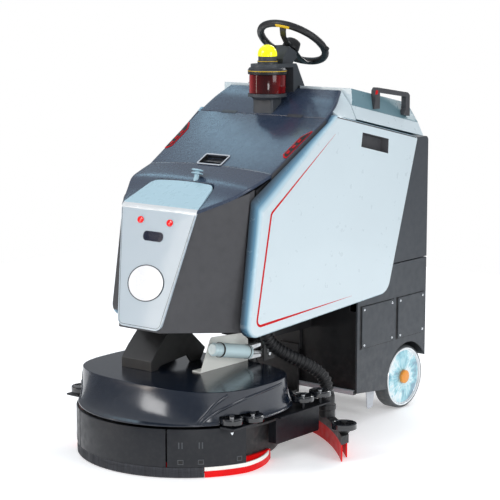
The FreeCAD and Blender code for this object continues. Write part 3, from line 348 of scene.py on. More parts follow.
M["beacon"] = lens("beacon_yellow", lin(255, 250, 0), 0.25, 0.55)
M["lamp"] = lens("lamp_red", lin(245, 4, 8), 0.15, 0.12)
M["window_navy"] = lens("window_navy", lin(8, 18, 44), 0.08)
M["scanner"] = scanner_red()
M["foil"] = foil_disc()
M["return"] = panel_return_painted_shade()


# ---------------------------------------------------------------- building

def object_of(name, data):
    obj = bpy.data.objects.new(name, data)
    bpy.context.scene.collection.objects.link(obj)
    return obj


def smooth(mesh, angle=35):
    mesh.polygons.foreach_set("use_smooth", [True] * len(mesh.polygons))
    mesh.set_sharp_from_angle(angle=math.radians(angle))


def bevelled(obj, width, segments=3, angle=32):
    bevel = obj.modifiers.new("edges", "BEVEL")
    bevel.width = width * MM
    bevel.segments = segments
    bevel.limit_method = "ANGLE"
    bevel.angle_limit = math.radians(angle)
    bevel.harden_normals = True


def piece(name, mesh, material, body, bevel=0.0, replaces=(), angle=35,
          curved=True):
    """Make a named piece from a mesh, ride it on its body and hide the CAD parts it replaces."""
    obj = object_of(name, mesh)
    if not mesh.materials:
        mesh.materials.append(M[material])
    if curved:
        smooth(mesh, angle)
    if bevel:
        bevelled(obj, bevel)
    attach(obj, body)
    if replaces:
        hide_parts(*replaces)
    return obj


def mesh_of(name, points, faces):
    mesh = bpy.data.meshes.new(name)
    mesh.from_pydata([tuple(p) for p in points], [], faces)
    mesh.update()
    bm = bmesh.new()
    bm.from_mesh(mesh)
    bmesh.ops.recalc_face_normals(bm, faces=bm.faces)
    bm.to_mesh(mesh)
    bm.free()
    return mesh


def one_face(name, points):
    return mesh_of(name, points, [tuple(range(len(points)))])


def grid(name, rows, around=False, ends=False, loop=False):
    """A skin through rows of points; around joins each row's ends, loop the rows' ends."""
    width = len(rows[0])
    points = [p for row in rows for p in row]
    faces = []
    for j in range(len(rows) if loop else len(rows) - 1):
        low, high = j * width, ((j + 1) % len(rows)) * width
        for i in range(width if around else width - 1):
            k = (i + 1) % width
            faces.append((low + i, low + k, high + k, high + i))
    if ends:
        faces.append(tuple(range(width)))
        faces.append(tuple(range((len(rows) - 1) * width, len(rows) * width)))
    return mesh_of(name, points, faces)


def closed(name, rows):
    return grid(name, rows, around=True, ends=True)


def lathe(name, profile, place, turn=None, steps=64, ring=False):
    """A turned piece: (radius, height) profile in mm about an axis at place (a Vector)."""
    turn = turn or Matrix.Identity(3)
    rows = []
    for radius, height in profile:
        row = []
        for i in range(steps):
            a = 2 * math.pi * i / steps
            row.append(place + turn @ P(max(radius, 0.02) * math.cos(a),
                                        max(radius, 0.02) * math.sin(a), height))
        rows.append(row)
    return grid(name, rows, around=True, ends=not ring, loop=ring)


def rounded(points, radii, steps=6):
    """Round a polygon's corners. points are 2-D, radii one number each or one for all."""
    out = []
    count = len(points)
    for i, corner in enumerate(points):
        radius = radii[i] if hasattr(radii, "__len__") else radii
        c = Vector(corner)
        if radius <= 0:
            out.append(c)
            continue
        a, b = Vector(points[i - 1]) - c, Vector(points[(i + 1) % count]) - c
        half = a.angle(b) / 2
        reach = min(radius / math.tan(half), 0.49 * a.length, 0.49 * b.length)
        radius = reach * math.tan(half)
        a.normalize()
        b.normalize()
        middle = c + (a + b).normalized() * (radius / math.sin(half))
        start, end = c + a * reach - middle, c + b * reach - middle
        swing = start.angle_signed(end)
        out += [middle + Matrix.Rotation(-swing * k / steps, 2) @ start for k in range(steps + 1)]
    return out


def oblong(half_wide, half_high, radius, steps=6):
    return rounded([(s * half_wide, t * half_high) for s, t in SQUARE], radius, steps)


def slab(name, outline, thick, matrix):
    """A flat piece: 2-D outline in mm, thick mm along the matrix's Z."""
    return closed(name, [[matrix @ P(p[0], p[1], z) for p in outline] for z in (0, thick)])


def runs(points):
    """The direction of a path at each of its points."""
    last = len(points) - 1
    return [(points[min(i + 1, last)] - points[max(i - 1, 0)]).normalized()
            for i in range(last + 1)]


def ribbon(name, points, across, width):
    """A thin strip along points. across has the direction of width at each point, in metres."""
    rows = []
    for i, (p, side) in enumerate(zip(points, across)):
        half = width(i / (len(points) - 1)) * MM / 2
        rows.append([p - side * half, p + side * half])
    return grid(name, rows)


def join(name, meshes):
    """One mesh from several, keeping each one's materials."""
    bm = bmesh.new()
    materials = []
    for mesh in meshes:
        start = len(bm.faces)
        bm.from_mesh(mesh)
        bm.faces.ensure_lookup_table()
        for face in bm.faces[start:]:
            material = mesh.materials[face.material_index] if mesh.materials else None
            if material and material not in materials:
                materials.append(material)
            face.material_index = materials.index(material) if material else 0
    out = bpy.data.meshes.new(name)
    bm.to_mesh(out)
    bm.free()
    for material in materials:
        out.materials.append(material)
    return out


def carved(obj, cutters):
    """Cut pieces away from an object's mesh for good."""
    tool = object_of("cutter", join("cutter", cutters))
    hole = obj.modifiers.new("hole", "BOOLEAN")
    hole.operation = "DIFFERENCE"
    hole.solver = "EXACT"
    hole.use_self = len(cutters) > 1
    hole.object = tool
    bpy.context.view_layer.update()
    baked = bpy.data.meshes.new_from_object(obj.evaluated_get(
        bpy.context.evaluated_depsgraph_get()))
    obj.modifiers.clear()
    obj.data = baked
    bpy.data.objects.remove(tool)
    smooth(baked, 40)


def painted(mesh, *materials):
    for material in materials:
        mesh.materials.append(M[material])
    return mesh


def soften(node, material, bevel=1.5, chosen=None, dissolve=1.0, segments=3, limit=32,
           moved=None):
    """A welded, bevelled copy of a CAD node. chosen(place, normal) may name another
    material for a face, and moved(place) another place for a corner, both in mm."""
    bm = bmesh.new()
    bm.from_mesh(frame["nodes"][node].data)
    bmesh.ops.remove_doubles(bm, verts=bm.verts, dist=1e-5)
    bmesh.ops.dissolve_limit(bm, angle_limit=math.radians(dissolve), verts=bm.verts,
                             edges=bm.edges)
    if moved:
        for vert in bm.verts:
            vert.co = P(*moved(vert.co / MM))
        bm.normal_update()
    materials = [material]
    for face in bm.faces:
        face.smooth = True
        pick = chosen(face.calc_center_median() / MM, face.normal) if chosen else None
        pick = pick or material
        if pick not in materials:
            materials.append(pick)
        face.material_index = materials.index(pick)
    mesh = bpy.data.meshes.new(node + "_skin")
    bm.to_mesh(mesh)
    bm.free()
    custom = mesh.attributes.get("custom_normal")
    if custom:
        mesh.attributes.remove(custom)
    obj = object_of(mesh.name, painted(mesh, *materials))
    smooth(mesh)
    bevelled(obj, bevel, segments, limit)
    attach(obj, BODY[node])
    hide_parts(node)


# ---------------------------------------------------------------- camera, light, floor

def set_world(scene):
    """A soft studio sky for the surfaces, plain white where the camera sees past them."""
    world = bpy.data.worlds.new("studio")
    scene.world = world
    world.use_nodes = True
    tree = world.node_tree
    sky = tree.nodes["Background"]
    place, axes, ramp, rise, path, white, pick = (tree.nodes.new("ShaderNode" + kind) for kind in (
        "TexCoord", "SeparateXYZ", "ValToRGB", "MapRange", "LightPath", "Background", "MixShader"))
    rise.inputs["From Min"].default_value = -1.0
    stops = ((0.0, 0.5), (0.47, 0.42), (0.56, 0.3), (0.72, 0.36), (1.0, 0.8))
    while len(ramp.color_ramp.elements) < len(stops):
        ramp.color_ramp.elements.new(0.5)
    for element, (at, level) in zip(ramp.color_ramp.elements, stops):
        element.position = at
        element.color = (level * 0.94, level * 0.98, level * 1.04, 1)
    white.inputs["Color"].default_value = (1, 1, 1, 1)
    for a, b in ((place.outputs["Generated"], axes.inputs[0]),
                 (axes.outputs["Z"], rise.inputs["Value"]),
                 (rise.outputs["Result"], ramp.inputs["Fac"]),
                 (ramp.outputs["Color"], sky.inputs["Color"]),
                 (path.outputs["Is Camera Ray"], pick.inputs[0]),
                 (sky.outputs[0], pick.inputs[1]), (white.outputs[0], pick.inputs[2]),
                 (pick.outputs[0], tree.nodes["World Output"].inputs[0])):
        tree.links.new(a, b)


# name, place and target in metres, size in metres, power in watts, colour
SOFTBOXES = (
    ("key", (-2.3, -4.95, 4.2), (0, 0, 0.8), (2.6, 2.6), 155, (1, 1, 1)),
    ("side", (5.6, -0.4, 2.4), (0.2, 0, 0.8), (2.4, 2.4), 105, (0.96, 0.98, 1)),
    ("lid", (-3.0, 1.5, 4.4), (0, -0.1, 1.1), (0.28, 3.0), 9, (0.45, 0.78, 1)),
    ("dome", (-3.3, -4.5, 1.25), (0, -0.4, 0.3), (0.4, 2.4), 26, (1, 0.88, 0.78)),
    ("low", (3.4, -3.2, 0.9), (0.1, -0.3, 0.36), (0.8, 0.5), 16, (1, 1, 1)),
    ("back", (-0.5, 4.5, 3.4), (0, 0, 0.9), (3, 1.6), 90, (1, 1, 1)))


def set_stage():
    scene = bpy.context.scene
    camera = object_of("camera", bpy.data.cameras.new("camera"))
    camera.data.lens = 119.6
    camera.data.sensor_width = 36
    camera.data.clip_end = 60
    azimuth, pitch, roll = math.radians(39.09), math.radians(9.277), math.radians(0.09)
    forward = Vector((-math.sin(azimuth) * math.cos(pitch),
                      math.cos(azimuth) * math.cos(pitch), -math.sin(pitch)))
    turn = forward.to_track_quat("-Z", "Y").to_matrix() @ Matrix.Rotation(roll, 3, "Z")
    camera.matrix_world = placed(Vector((3.836, -4.710, 1.667)), turn)
    scene.camera = camera
    scene.view_settings.view_transform = "Standard"
    set_world(scene)
    for name, at, target, size, power, color in SOFTBOXES:
        light = bpy.data.lights.new(name, "AREA")
        light.shape = "RECTANGLE"
        light.size, light.size_y = size
        light.energy = power
        light.color = color
        aim = (Vector(target) - Vector(at)).to_track_quat("-Z", "Y")
        object_of(name, light).matrix_world = placed(Vector(at), aim.to_matrix())
    reach = 3.4
    mesh = one_face("floor", [(s * reach, t * reach, 0) for s, t in SQUARE])
    mesh.materials.append(finish_of(
        "floor_pale", (0.93, 0.93, 0.93, 1), 0.75, spread=0.01, grain=(40, 0.02, 0.001),
        glow=0.32, glow_color=(1, 1, 1, 1)))
    floor = object_of("floor", mesh)


set_stage()


# ---------------------------------------------------------------- lower body

DOORS = ((298, 508), (538, 719))      # where each access door begins and ends, y


def build_chassis():
    def rail(c, n):
        low_rail = c.y < 268 and c.z < 140 and abs(c.x) < 301
        return "band" if low_rail or (c.z < 121 and 240 < abs(c.x) < 270) else None

    soften("chassis_frame", "black", 1.2, chosen=rail)
    for node, material in (("battery_pack", "black"), ("drive_motors", "bracket"),
                           ("bay_units", "black"), ("drive_hub", "bracket"),
                           ("steer_fork", "bracket")):
        soften(node, material, 2.0)
    soften("lower_covers", "cover", 1.2)
    soften("access_doors", "cover", 1.0)
    soften("rear_cover", "cover", 1.5, chosen=lambda c, n: "black" if c.y > 735.5 else None)
    cover_x, door_x = 308.4, 312
    screw = [(0, 0), (4.8, 0), (4.8, 1.2), (3.6, 2.6), (1.6, 3.0), (1.6, 2.2), (0, 2.2)]
    gaps, heads = [], []
    for side, sign in SIDES:
        for near, far in DOORS:
            for start, wide in ((near - 11, 10), (far - 0.5, 3)):
                gaps.append(grid("gap", [[P(sign * cover_x, start + w, z) for w in (0, wide)]
                                         for z in (289, 456)]))
            for z in (289.5, 452.5):
                gaps.append(grid("gap", [[P(sign * cover_x, y, z + d) for y in (near - 6, far)]
                                         for d in (0, 2.2)]))
            heads += [lathe("screw", screw, P(sign * door_x, y, z), facing(sign), 20)
                      for y in (near + 13, far - 13) for z in (304, 440)]
    piece("door_gaps", join("door_gaps", gaps), "void", "chassis", curved=False)
    piece("door_screws", join("door_screws", heads), "screw", "chassis")
    slots = [slab("slot", oblong(120, 2.2, 2.1), 1.0, placed(P(0, 735.6, 470 + 12 * row), BACKWARD))
             for row in range(8)]
    piece("rear_vents", join("rear_vents", slots), "void", "chassis", curved=False)
    contacts = [slab("contact", oblong(9, 38, 4), 1.6, placed(P(x, 739.4, 285), BACKWARD))
                for x in (-42, 42)]
    piece("dock_contacts", join("dock_contacts", contacts), "screw", "chassis", 0.5)


def build_tank():
    def body_skin(c, n):
        if abs(c.x) > 240 and c.y < 224 and c.z > 1135:
            return "white"
        return "black" if c.y < -290 or (c.y < 272 and abs(c.x) < 282) else None

    def lid_skin(c, n):
        return "teal" if abs(c.x) < 303 and c.y > 232 and c.z > 1120 else None

    soften("tank_body", "cover", 2.0, chosen=body_skin)
    soften("tank_lid", "white", 2.5, segments=4, chosen=lid_skin)
    soften("lid_handles", "shell", 2.2)
    outline = rounded([(-9, -8), (7, -8), (9, 6), (-5, 9)], 2.5)
    marks = [slab("mark", outline, 0.5, placed(P(sign * 308.3, 376, 1252), facing(sign)))
             for side, sign in SIDES]
    piece("handle_marks", join("handle_marks", marks), "red_ink", "tank_cover", curved=False)


# ---------------------------------------------------------------- side panels

GRIP = [(262, 1112), (430, 1076), (428, 1022), (254, 1060)]


def lowered(p):
    """The slanted top-front edge, brought down to leave the lid's side band in view."""
    line = 925 + 0.611 * (p.y + 332)
    if line - p.z > 20 or p.y < -345 or p.y > 104:
        return p
    out = (abs(p.x) - 283) / 45
    inner, outer = 988 + 0.537 * (p.y + 198), 886 + 0.674 * (p.y + 318)
    ease = min(1.0, max(0.0, (110 - p.y) / 60))
    return p.x, p.y + 6 * out, p.z - (line - (inner + (outer - inner) * out)) * ease


def build_panels():
    # stripe: down the slanted top edge, down the front and back along the bottom
    path = rounded([(93, 1118), (-275, 870), (-357, 484), (205, 512)], [0, 22, 20, 0], 8)
    dense = []
    for a, b in zip(path, path[1:]):
        steps = max(1, int((b - a).length / 18))
        dense += [a.lerp(b, k / steps) for k in range(steps)]
    dense.append(path[-1])
    across = [Vector((0, -run.y, run.x)) for run in runs(dense)]
    middle = sum((Vector(p) for p in GRIP), Vector((0, 0))) / 4
    deep = [middle + (Vector(p) - middle) * 0.86 for p in GRIP]

    def width(t):
        return 0.8 + 8.2 * min(1.0, 3.4 * t) if t < 0.5 else 0.6 + 8.4 * min(1.0, (1 - t) / 0.3)

    for side, sign in SIDES:
        def skin(c, n, sign=sign):
            outward = n.x * sign
            in_grip = 240 < c.y < 440 and 1000 < c.z < 1125
            if in_grip and (outward < 0.95 or abs(c.x) < 320):
                return "shell"
            if outward >= 0.9:
                return None
            if sign < 0 and c.y < 60 and c.z > 470:
                return "slate" if c.z > 930 else "shell"
            # the returns take a colour with painted shade and a painted reflection towards the
            # shell
            return "return"

        soften("side_panel_" + side, "white", 0.8, chosen=skin, dissolve=0.4, moved=lowered)
        points = [P(sign * 328.25, q.x, q.y) for q in dense]
        piece("stripe_" + side, ribbon("stripe", points, across, width), "red_ink", "chassis",
              curved=False)
        rows = [[P(sign * x, p.x, p.y) for p in rounded(ring, 6)]
                for ring, x in ((GRIP, 327.2), ([tuple(p) for p in deep], 300.5))]
        liner = join("grip_liner", [grid("grip", rows, around=True),
                                    one_face("grip_floor", rows[1])])
        piece("grip_liner_" + side, liner, "shell", "chassis", curved=False)


# ---------------------------------------------------------------- front end

# the fascia's foot, its bend and the top insert's back edge, as (y, z), and half widths there
FOOT, BEND, BACK = Vector((-599, 477)), Vector((-489, 888)), Vector((-356, 961.5))
FOOT_HALF, BEND_HALF, BACK_HALF = 99, 175, 140
FRONT_SLOPE = (BEND.x - FOOT.x) / (BEND.y - FOOT.y)
FRONT_NORMAL = Vector((0, -1, FRONT_SLOPE)).normalized()


def front_point(x, z, proud=0.0):
    """A point on the fascia's front plane, or proud of it by so many millimetres."""
    return P(x, FOOT.x + (z - FOOT.y) * FRONT_SLOPE, z) + FRONT_NORMAL * (proud * MM)


def fascia_rows():
    """Rows across the fascia from its foot, over the bend, to the top insert's back edge."""
    bend_radius, corner = 34.0, 26.0
    first, second = (BEND - FOOT).normalized(), (BACK - BEND).normalized()
    turn = first.angle(second)
    reach = bend_radius * math.tan(turn / 2)
    stations = [FOOT + first * s for s in (0, 1.5, 4, 8, 13, 19, 26)]
    stations += [FOOT + first * ((BEND - FOOT).length - reach) * k / 12 for k in range(1, 13)]
    centre = BEND - first * reach + Vector((first.y, -first.x)) * bend_radius
    spoke = BEND - first * reach - centre
    stations += [centre + Matrix.Rotation(-turn * k / 8, 2) @ spoke for k in range(1, 9)]
    length = (BACK - BEND).length
    stations += [BEND + second * (reach + (length - reach) * k / 10) for k in range(1, 8)]
    stations += [BACK - second * s for s in (22, 15, 9, 4.5, 1.5, 0)]
    rows = []
    for p in stations:
        past = (p.x - BEND.x) / (BACK.x - BEND.x)
        if p.y <= BEND.y:
            half = FOOT_HALF + (p.y - FOOT.y) * (BEND_HALF - FOOT_HALF) / (BEND.y - FOOT.y)
            s, bow = (p - FOOT).length, 0.0
        else:
            half = BEND_HALF - (BEND_HALF - BACK_HALF) * past
            s, bow = (p - BACK).length, 6.0 * max(0.0, past)
        if s < corner:
            half -= corner - math.sqrt(max(0.0, corner ** 2 - (corner - s) ** 2))
        across = [-1 + i / 12 for i in range(25)]
        rows.append([P(half * u, p.x + bow * (1 - u * u), p.y + bow * (1 - u * u) * 0.5)
                     for u in across])
    return rows


def build_front():
    def raised(p):
        if p.z < 462:
            return p.x, p.y, p.z + 14 * min(1.0, max(0.0, (-363 - p.y) / 236))
        return p

    soften("front_shell", "shell", 2.5, segments=4, limit=12, moved=raised)
    mesh = painted(grid("fascia", fascia_rows()), "silver", "pale_blue", "rim")
    # faces on the bend take the bright rim finish: a painted highlight along the crease
    for face in mesh.polygons:
        z = face.center.z
        face.material_index = 1 if z > 0.8905 else 2 if z > 0.871 else 0
    fascia = piece("fascia", mesh, None, "chassis", replaces=("front_fascia",),
                   curved=False)
    smooth(mesh, 50)
    thick = fascia.modifiers.new("thickness", "SOLIDIFY")
    thick.thickness = 0.007
    thick.offset = -1 if mesh.polygons[0].normal.y < 0 else 1
    bevelled(fascia, 2.2, 3, 50)
    # thin dark joint just inside the rim, on both sides and round the foot
    line = rounded([(-168, 872), (-93, 484), (93, 484), (168, 872)], [0, 20, 20, 0], 8)
    points = [front_point(p.x, p.y, 0.35) for p in line]
    across = [run.cross(FRONT_NORMAL).normalized() for run in runs(points)]
    piece("fascia_joint", ribbon("fascia_joint", points, across, lambda t: 1.5), "dark_ink",
          "chassis", curved=False)
    face = Matrix.Rotation(math.pi / 2 - math.atan(FRONT_SLOPE), 3, "X")
    lamp_face = face @ Matrix.Diagonal((1.3, 1.06, 1.0))
    badge_face = face @ Matrix.Diagonal((1.2, 0.915, 1.0))
    lamp = [(0, -2), (11.6, -2), (11.6, 2.2), (10.4, 3.8), (8, 4.8), (4, 5.4), (0, 5.6)]
    seat = [(11.7, 0), (13.6, 0), (13.6, 1.2), (13.0, 1.8), (11.7, 1.8)]
    for side, sign in SIDES:
        at = front_point(68 * sign - 4, 838)
        piece("lamp_" + side, lathe("lamp", lamp, at, lamp_face, 40), "lamp", "chassis",
              replaces=("front_sensors",))
        piece("lamp_seat_" + side, lathe("seat", seat, at, lamp_face, 40, ring=True), "silver",
              "chassis")
    place = placed(front_point(-2, 787), face)
    piece("sensor_window", slab("window", oblong(46, 17, 15, 8), 2.4, place), "window_navy",
          "chassis", 1.0)
    piece("window_rim", slab("rim", oblong(48, 19, 17, 8), 0.8, place), "silver", "chassis", 0.3)
    at = front_point(0, 629)
    ring = [(66.6, 0), (70, 0), (70, 1.6), (69.4, 2.0), (67.2, 2.0), (66.6, 1.6)]
    disc = [(0, 0), (66.5, 0), (66.5, 1.2), (0, 1.3)]
    piece("badge_ring", lathe("badge_ring", ring, at, badge_face, 96, ring=True), "dark_ink",
          "chassis")
    piece("badge_disc", lathe("badge_disc", disc, at, badge_face, 96), "badge", "chassis")


def spline(knots, at):
    """Smooth value between (place, value) knots at one place."""
    for i in range(len(knots) - 1):
        (a, va), (b, vb) = knots[i], knots[i + 1]
        if at <= b or i == len(knots) - 2:
            before = knots[max(i - 1, 0)]
            after = knots[min(i + 2, len(knots) - 1)]
            ma = (vb - before[1]) / (b - before[0]) * (b - a)
            mb = (after[1] - va) / (after[0] - a) * (b - a)
            t = (at - a) / (b - a)
            return ((2 * t ** 3 - 3 * t ** 2 + 1) * va + (t ** 3 - 2 * t ** 2 + t) * ma
                    + (-2 * t ** 3 + 3 * t ** 2) * vb + (t ** 3 - t ** 2) * mb)


def column(knots, i):
    """(place, value) pairs from the first and the i-th number of each knot."""
    return [(knot[0], knot[i]) for knot in knots]


CROWN_POWER = 2.6


def cover_skin(name, station, start, length, steps, sides=26, edge_round=5.0):
    """A crowned cover. station(y) gives its half width, lower edge, edge and crown there."""
    rows = []
    for y in (start + length * k / steps for k in range(steps + 1)):
        half, low, edge, crown = station(y)
        row = [(half, low), (half, edge - edge_round)]
        for k in range(1, 5):
            a = math.pi / 2 * k / 4
            row.append((half - edge_round * (1 - math.cos(a)),
                        edge - edge_round * (1 - math.sin(a))))
        inner = half - edge_round
        for k in range(1, sides):
            x = inner * (1 - k / sides)
            row.append((x, edge + (crown - edge) * (1 - (x / inner) ** CROWN_POWER)))
        whole = row + [(0.0, crown)] + [(-x, z) for x, z in reversed(row)]
        rows.append([P(x, y, z) for x, z in whole])
    return closed(name, rows)


# the front cap's half width, edge height and crown height at each y
CAP = [(-489, 175, 888, 888), (-440, 207.5, 907, 914), (-390, 240.6, 927.5, 941),
       (-332, 274, 958, 973), (-280, 281.5, 977, 992), (-223, 284, 997, 1010.5)]
# the top cover's half width and edge height
TOP = [(78, 299, 1174), (120, 294, 1202), (165, 282, 1233), (216, 262, 1265)]
LID_START, LID_LENGTH, LID_SLOPE = -220, 295, 28.4
LID_LOW, LID_RISE, LID_CROWN, LID_HALF, LID_WIDENS = 998.8, 173.4, 13.5, 284, 15
LATCH = P(0, -191, 1016)


def lid_edge(y):
    """How far along the lid y is, and the lid's half width and edge height there."""
    t = (y - LID_START) / LID_LENGTH
    return t, LID_HALF + LID_WIDENS * t, LID_LOW + LID_RISE * t


def build_covers():
    def cap(y):
        half, edge, crown = (spline(column(CAP, i), y) for i in (1, 2, 3))
        return half, edge - 11, edge, crown

    def lid(y):
        t, half, edge = lid_edge(y)
        return half, edge - 24, edge, edge + LID_CROWN * (1 - t) ** 0.8

    def top(y):
        half, edge = (spline(column(TOP, i), y) for i in (1, 2))
        return half, edge - 20, edge, edge + 3 * math.sin(math.pi * (y - 78) / 138)

    skin = piece("cap_skin", cover_skin("cap_skin", cap, -489, 266, 18), "slate", "chassis", 0,
                 ("front_cap",), angle=40)
    insert = rounded([(-182, -520), (182, -520), (141.5, -347.5), (-141.5, -347.5)],
                     [0, 0, 27, 27], 8)
    rows = [[P(p.x, p.y + (7 * (1 - (p.x / 141) ** 2) if p.y > -352 else 0), z) for p in insert]
            for z in (860, 1020)]
    carved(skin, [closed("insert_cut", rows)])
    bevelled(skin, 0.8, 2, 40)
    seam = [P(x, -221.8, 1010.2 - 12.6 * (abs(x) / LID_HALF) ** CROWN_POWER)
            for x in range(-280, 281, 14)]
    across = [Vector((0, 0.77, 0.64))] * len(seam)
    piece("seam_glint", ribbon("seam_glint", seam, across, lambda t: 1.3), "silver", "chassis",
          curved=False)

    mesh = painted(cover_skin("lid_skin", lid, LID_START, LID_LENGTH, 12), "slate", "shell")
    for face in mesh.polygons:
        side_x = LID_HALF * MM * (1 + 0.05 * (face.center.y / MM - LID_START) / LID_LENGTH)
        if abs(face.center.x) > side_x - 0.002 and abs(face.normal.x) > 0.9:
            face.material_index = 1
    skin = piece("lid_skin", mesh, None, "hood", 0, ("hood_lid",), angle=40)
    carved(skin, [slab("latch_cut", oblong(52, 28, 4), 60, placed(LATCH, turned(LID_SLOPE)))])
    bevelled(skin, 0.8, 2, 40)

    piece("cover_skin", cover_skin("cover_skin", top, 78.5, 137, 14), "slate", "chassis", 0.8,
          ("top_cover",), angle=40)
    tabs = [slab("tab", oblong(35, 9, 2), 1.2, placed(P(x, 79, 1175.2), turned(31)))
            for x in (-155, 155)]
    piece("hinge_tabs", join("hinge_tabs", tabs), "cover", "chassis", 0.5)


def on_lid(sign, y, inward, proud):
    """A point on the hood lid's skin, so far in from its right (1) or left (-1) edge."""
    t, half, edge = lid_edge(y)
    x = half - 2 - inward
    crown = 1 - min(1.0, x / (half - 5)) ** CROWN_POWER
    z = edge + LID_CROWN * (1 - t) ** 0.8 * crown
    return P(sign * x, y - 0.48 * proud, z + 0.88 * proud)


def build_lid_fittings():
    pan = placed(LATCH + P(0, 0, 2), turned(LID_SLOPE))
    well = oblong(51.5, 27.5, 4)
    rows = [[pan @ P(p.x * s, p.y * s, z) for p in well] for z, s in ((11.5, 1.0), (-4, 0.95))]
    lining = join("latch_well", [grid("well", rows, around=True), one_face("well_floor", rows[1])])
    piece("latch_well", lining, "void", "hood", curved=False)
    rows = [[pan @ P(p.x, p.y, z) for p in oblong(52 + grow, 28 + grow, 4 + grow)]
            for grow, z in ((0, 10.5), (0, 13.2), (5.5, 13.2), (5.5, 10.5))]
    piece("latch_frame", grid("latch_frame", rows, around=True, loop=True), "band", "hood", 0.8)
    outline = rounded([(-46, -14), (46, -14), (46, 16), (-46, 16)], 4)
    piece("latch_paddle", slab("paddle", outline, 3.0, pan @ placed(P(0, 4, 1), turned(-12))),
          "black_gloss", "hood", 1.0)
    # light strips, as (y, distance in from the lid's edge)
    strips = (("light_edge", "red_ink", 2.0,
               [(-139, 1), (-139, 13), (-126, 26), (-30, 26), (4, 6), (4, 1)]),
              ("light_bed", "void", 2.8,
               [(-133, 2), (-133, 12), (-123, 22), (-31, 22), (-4, 5), (-4, 2)]))
    dash = [(-7, 8), (-9, 16), (7, 18), (8, 10)]

    def raised(name, sign, outline, low, high):
        return closed(name, [[on_lid(sign, y, inward, proud) for y, inward in outline]
                             for proud in (low, high)])

    for side, sign in SIDES:
        for name, material, proud, outline in strips:
            piece(name + "_" + side, raised(name, sign, outline, 0.0, proud), material, "hood",
                  curved=False)
        dashes = [raised("dash", sign, [(y + dy, inward) for dy, inward in dash], 1.4, 3.6)
                  for y in (-112, -82, -52)]
        piece("light_dashes_" + side, join("light_dashes", dashes), "red_ink", "hood",
              curved=False)
    knob = [(0, -10), (9, -10), (9, 19), (19.5, 19), (21, 20.2), (21, 22.6), (19.5, 23.4),
            (10, 24), (9, 25), (9, 29), (10, 30), (19.5, 30), (21, 31), (21, 34), (19.5, 35.2),
            (0, 35.5)]
    piece("lock_knob_skin", lathe("knob", knob, P(36, -333, 972), turned(-15), 48), "pale_blue",
          "knob", 0, ("lock_knob",))


# ---------------------------------------------------------------- tower and wheel

WHEEL_AT = P(0, 265, 1431)
WHEEL_TURN = turned(-34.5)
WHEEL_RADIUS, RIM_RADIUS = 129.5, 13.6


def build_tower():
    soften("steering_column", "cover", 1.6)
    soften("lidar_housing", "cover", 1.2)
    foot = P(0, 112, 0)
    window = [(40, 1250.5), (66.6, 1250.5), (67.2, 1256), (67.2, 1312), (66.4, 1318), (40, 1318)]
    piece("lidar_skin", lathe("lidar_skin", window, foot, steps=96), "scanner", "chassis", 0,
          ("lidar_window",))
    cap = [(40, 1319), (70.5, 1319), (72.2, 1320.6), (72.2, 1333), (70.5, 1339), (66, 1343),
           (61, 1345), (40, 1345)]
    piece("lidar_cap", lathe("lidar_cap", cap, foot, steps=96), "black", "chassis")
    for name, radius, z, high in (("cap_line", 72.5, 1330.5, 2.2), ("foot_line", 38.0, 1366, 2.0)):
        ring = [(radius - 2, z), (radius, z), (radius, z + high), (radius - 2, z + high)]
        piece(name, lathe(name, ring, foot, steps=96, ring=True), "yellow_ink", "chassis")
    dome = [(36 * math.cos(math.radians(a)), 1392 + 36 * math.sin(math.radians(a)))
            for a in range(0, 90, 5)]
    profile = [(33.5, 1384.5), (36, 1385.5)] + dome + [(0.0, 1428)]
    piece("beacon_skin", lathe("beacon_skin", profile, foot), "beacon", "chassis", 0,
          ("beacon_dome",))


def wheel_point(r, angle, s):
    """A point about the steering wheel's centre, s along its axis."""
    a = math.radians(angle)
    return WHEEL_AT + WHEEL_TURN @ P(r * math.cos(a), r * math.sin(a), s)


def rim_point(angle, round_rim, proud=0.0):
    """A point on the wheel's rim; round_rim is in radians about the rim's own middle."""
    r = RIM_RADIUS + proud
    return wheel_point(WHEEL_RADIUS + r * math.cos(round_rim), angle, r * math.sin(round_rim))


def wheel_rim():
    """The rim, with fine finger waves on its inner half."""
    rows = []
    for angle in range(0, 360, 3):
        row = []
        for k in range(20):
            b = 2 * math.pi * k / 20
            wave = 0.5 * math.cos(math.radians(angle * 20)) if math.cos(b) < 0 else 0.0
            row.append(wheel_point(WHEEL_RADIUS + (RIM_RADIUS + wave) * math.cos(b), angle,
                                   RIM_RADIUS * math.sin(b)))
        rows.append(row)
    return grid("rim", rows, around=True, loop=True)


def wheel_spoke(angle):
    a = math.radians(angle)
    side = (WHEEL_TURN @ P(-math.sin(a), math.cos(a), 0)).normalized()
    rows = []
    # distance out, half width, place along the axis, thickness
    for r, half, s, thick in ((24, 17, -22, 13), (34, 14, -27, 9), (60, 12.5, -30, 7.5),
                              (92, 12.5, -28, 7.5), (110, 13, -18, 8), (121, 14, -8, 9)):
        centre = wheel_point(r, angle, s)
        up = WHEEL_TURN @ P(0, 0, thick / 2)
        across, thin = side * (half * MM), side * ((half - 3) * MM)
        rows.append([centre - across, centre - thin + up, centre + thin + up, centre + across,
                     centre + thin - up, centre - thin - up])
    return closed("spoke", rows)


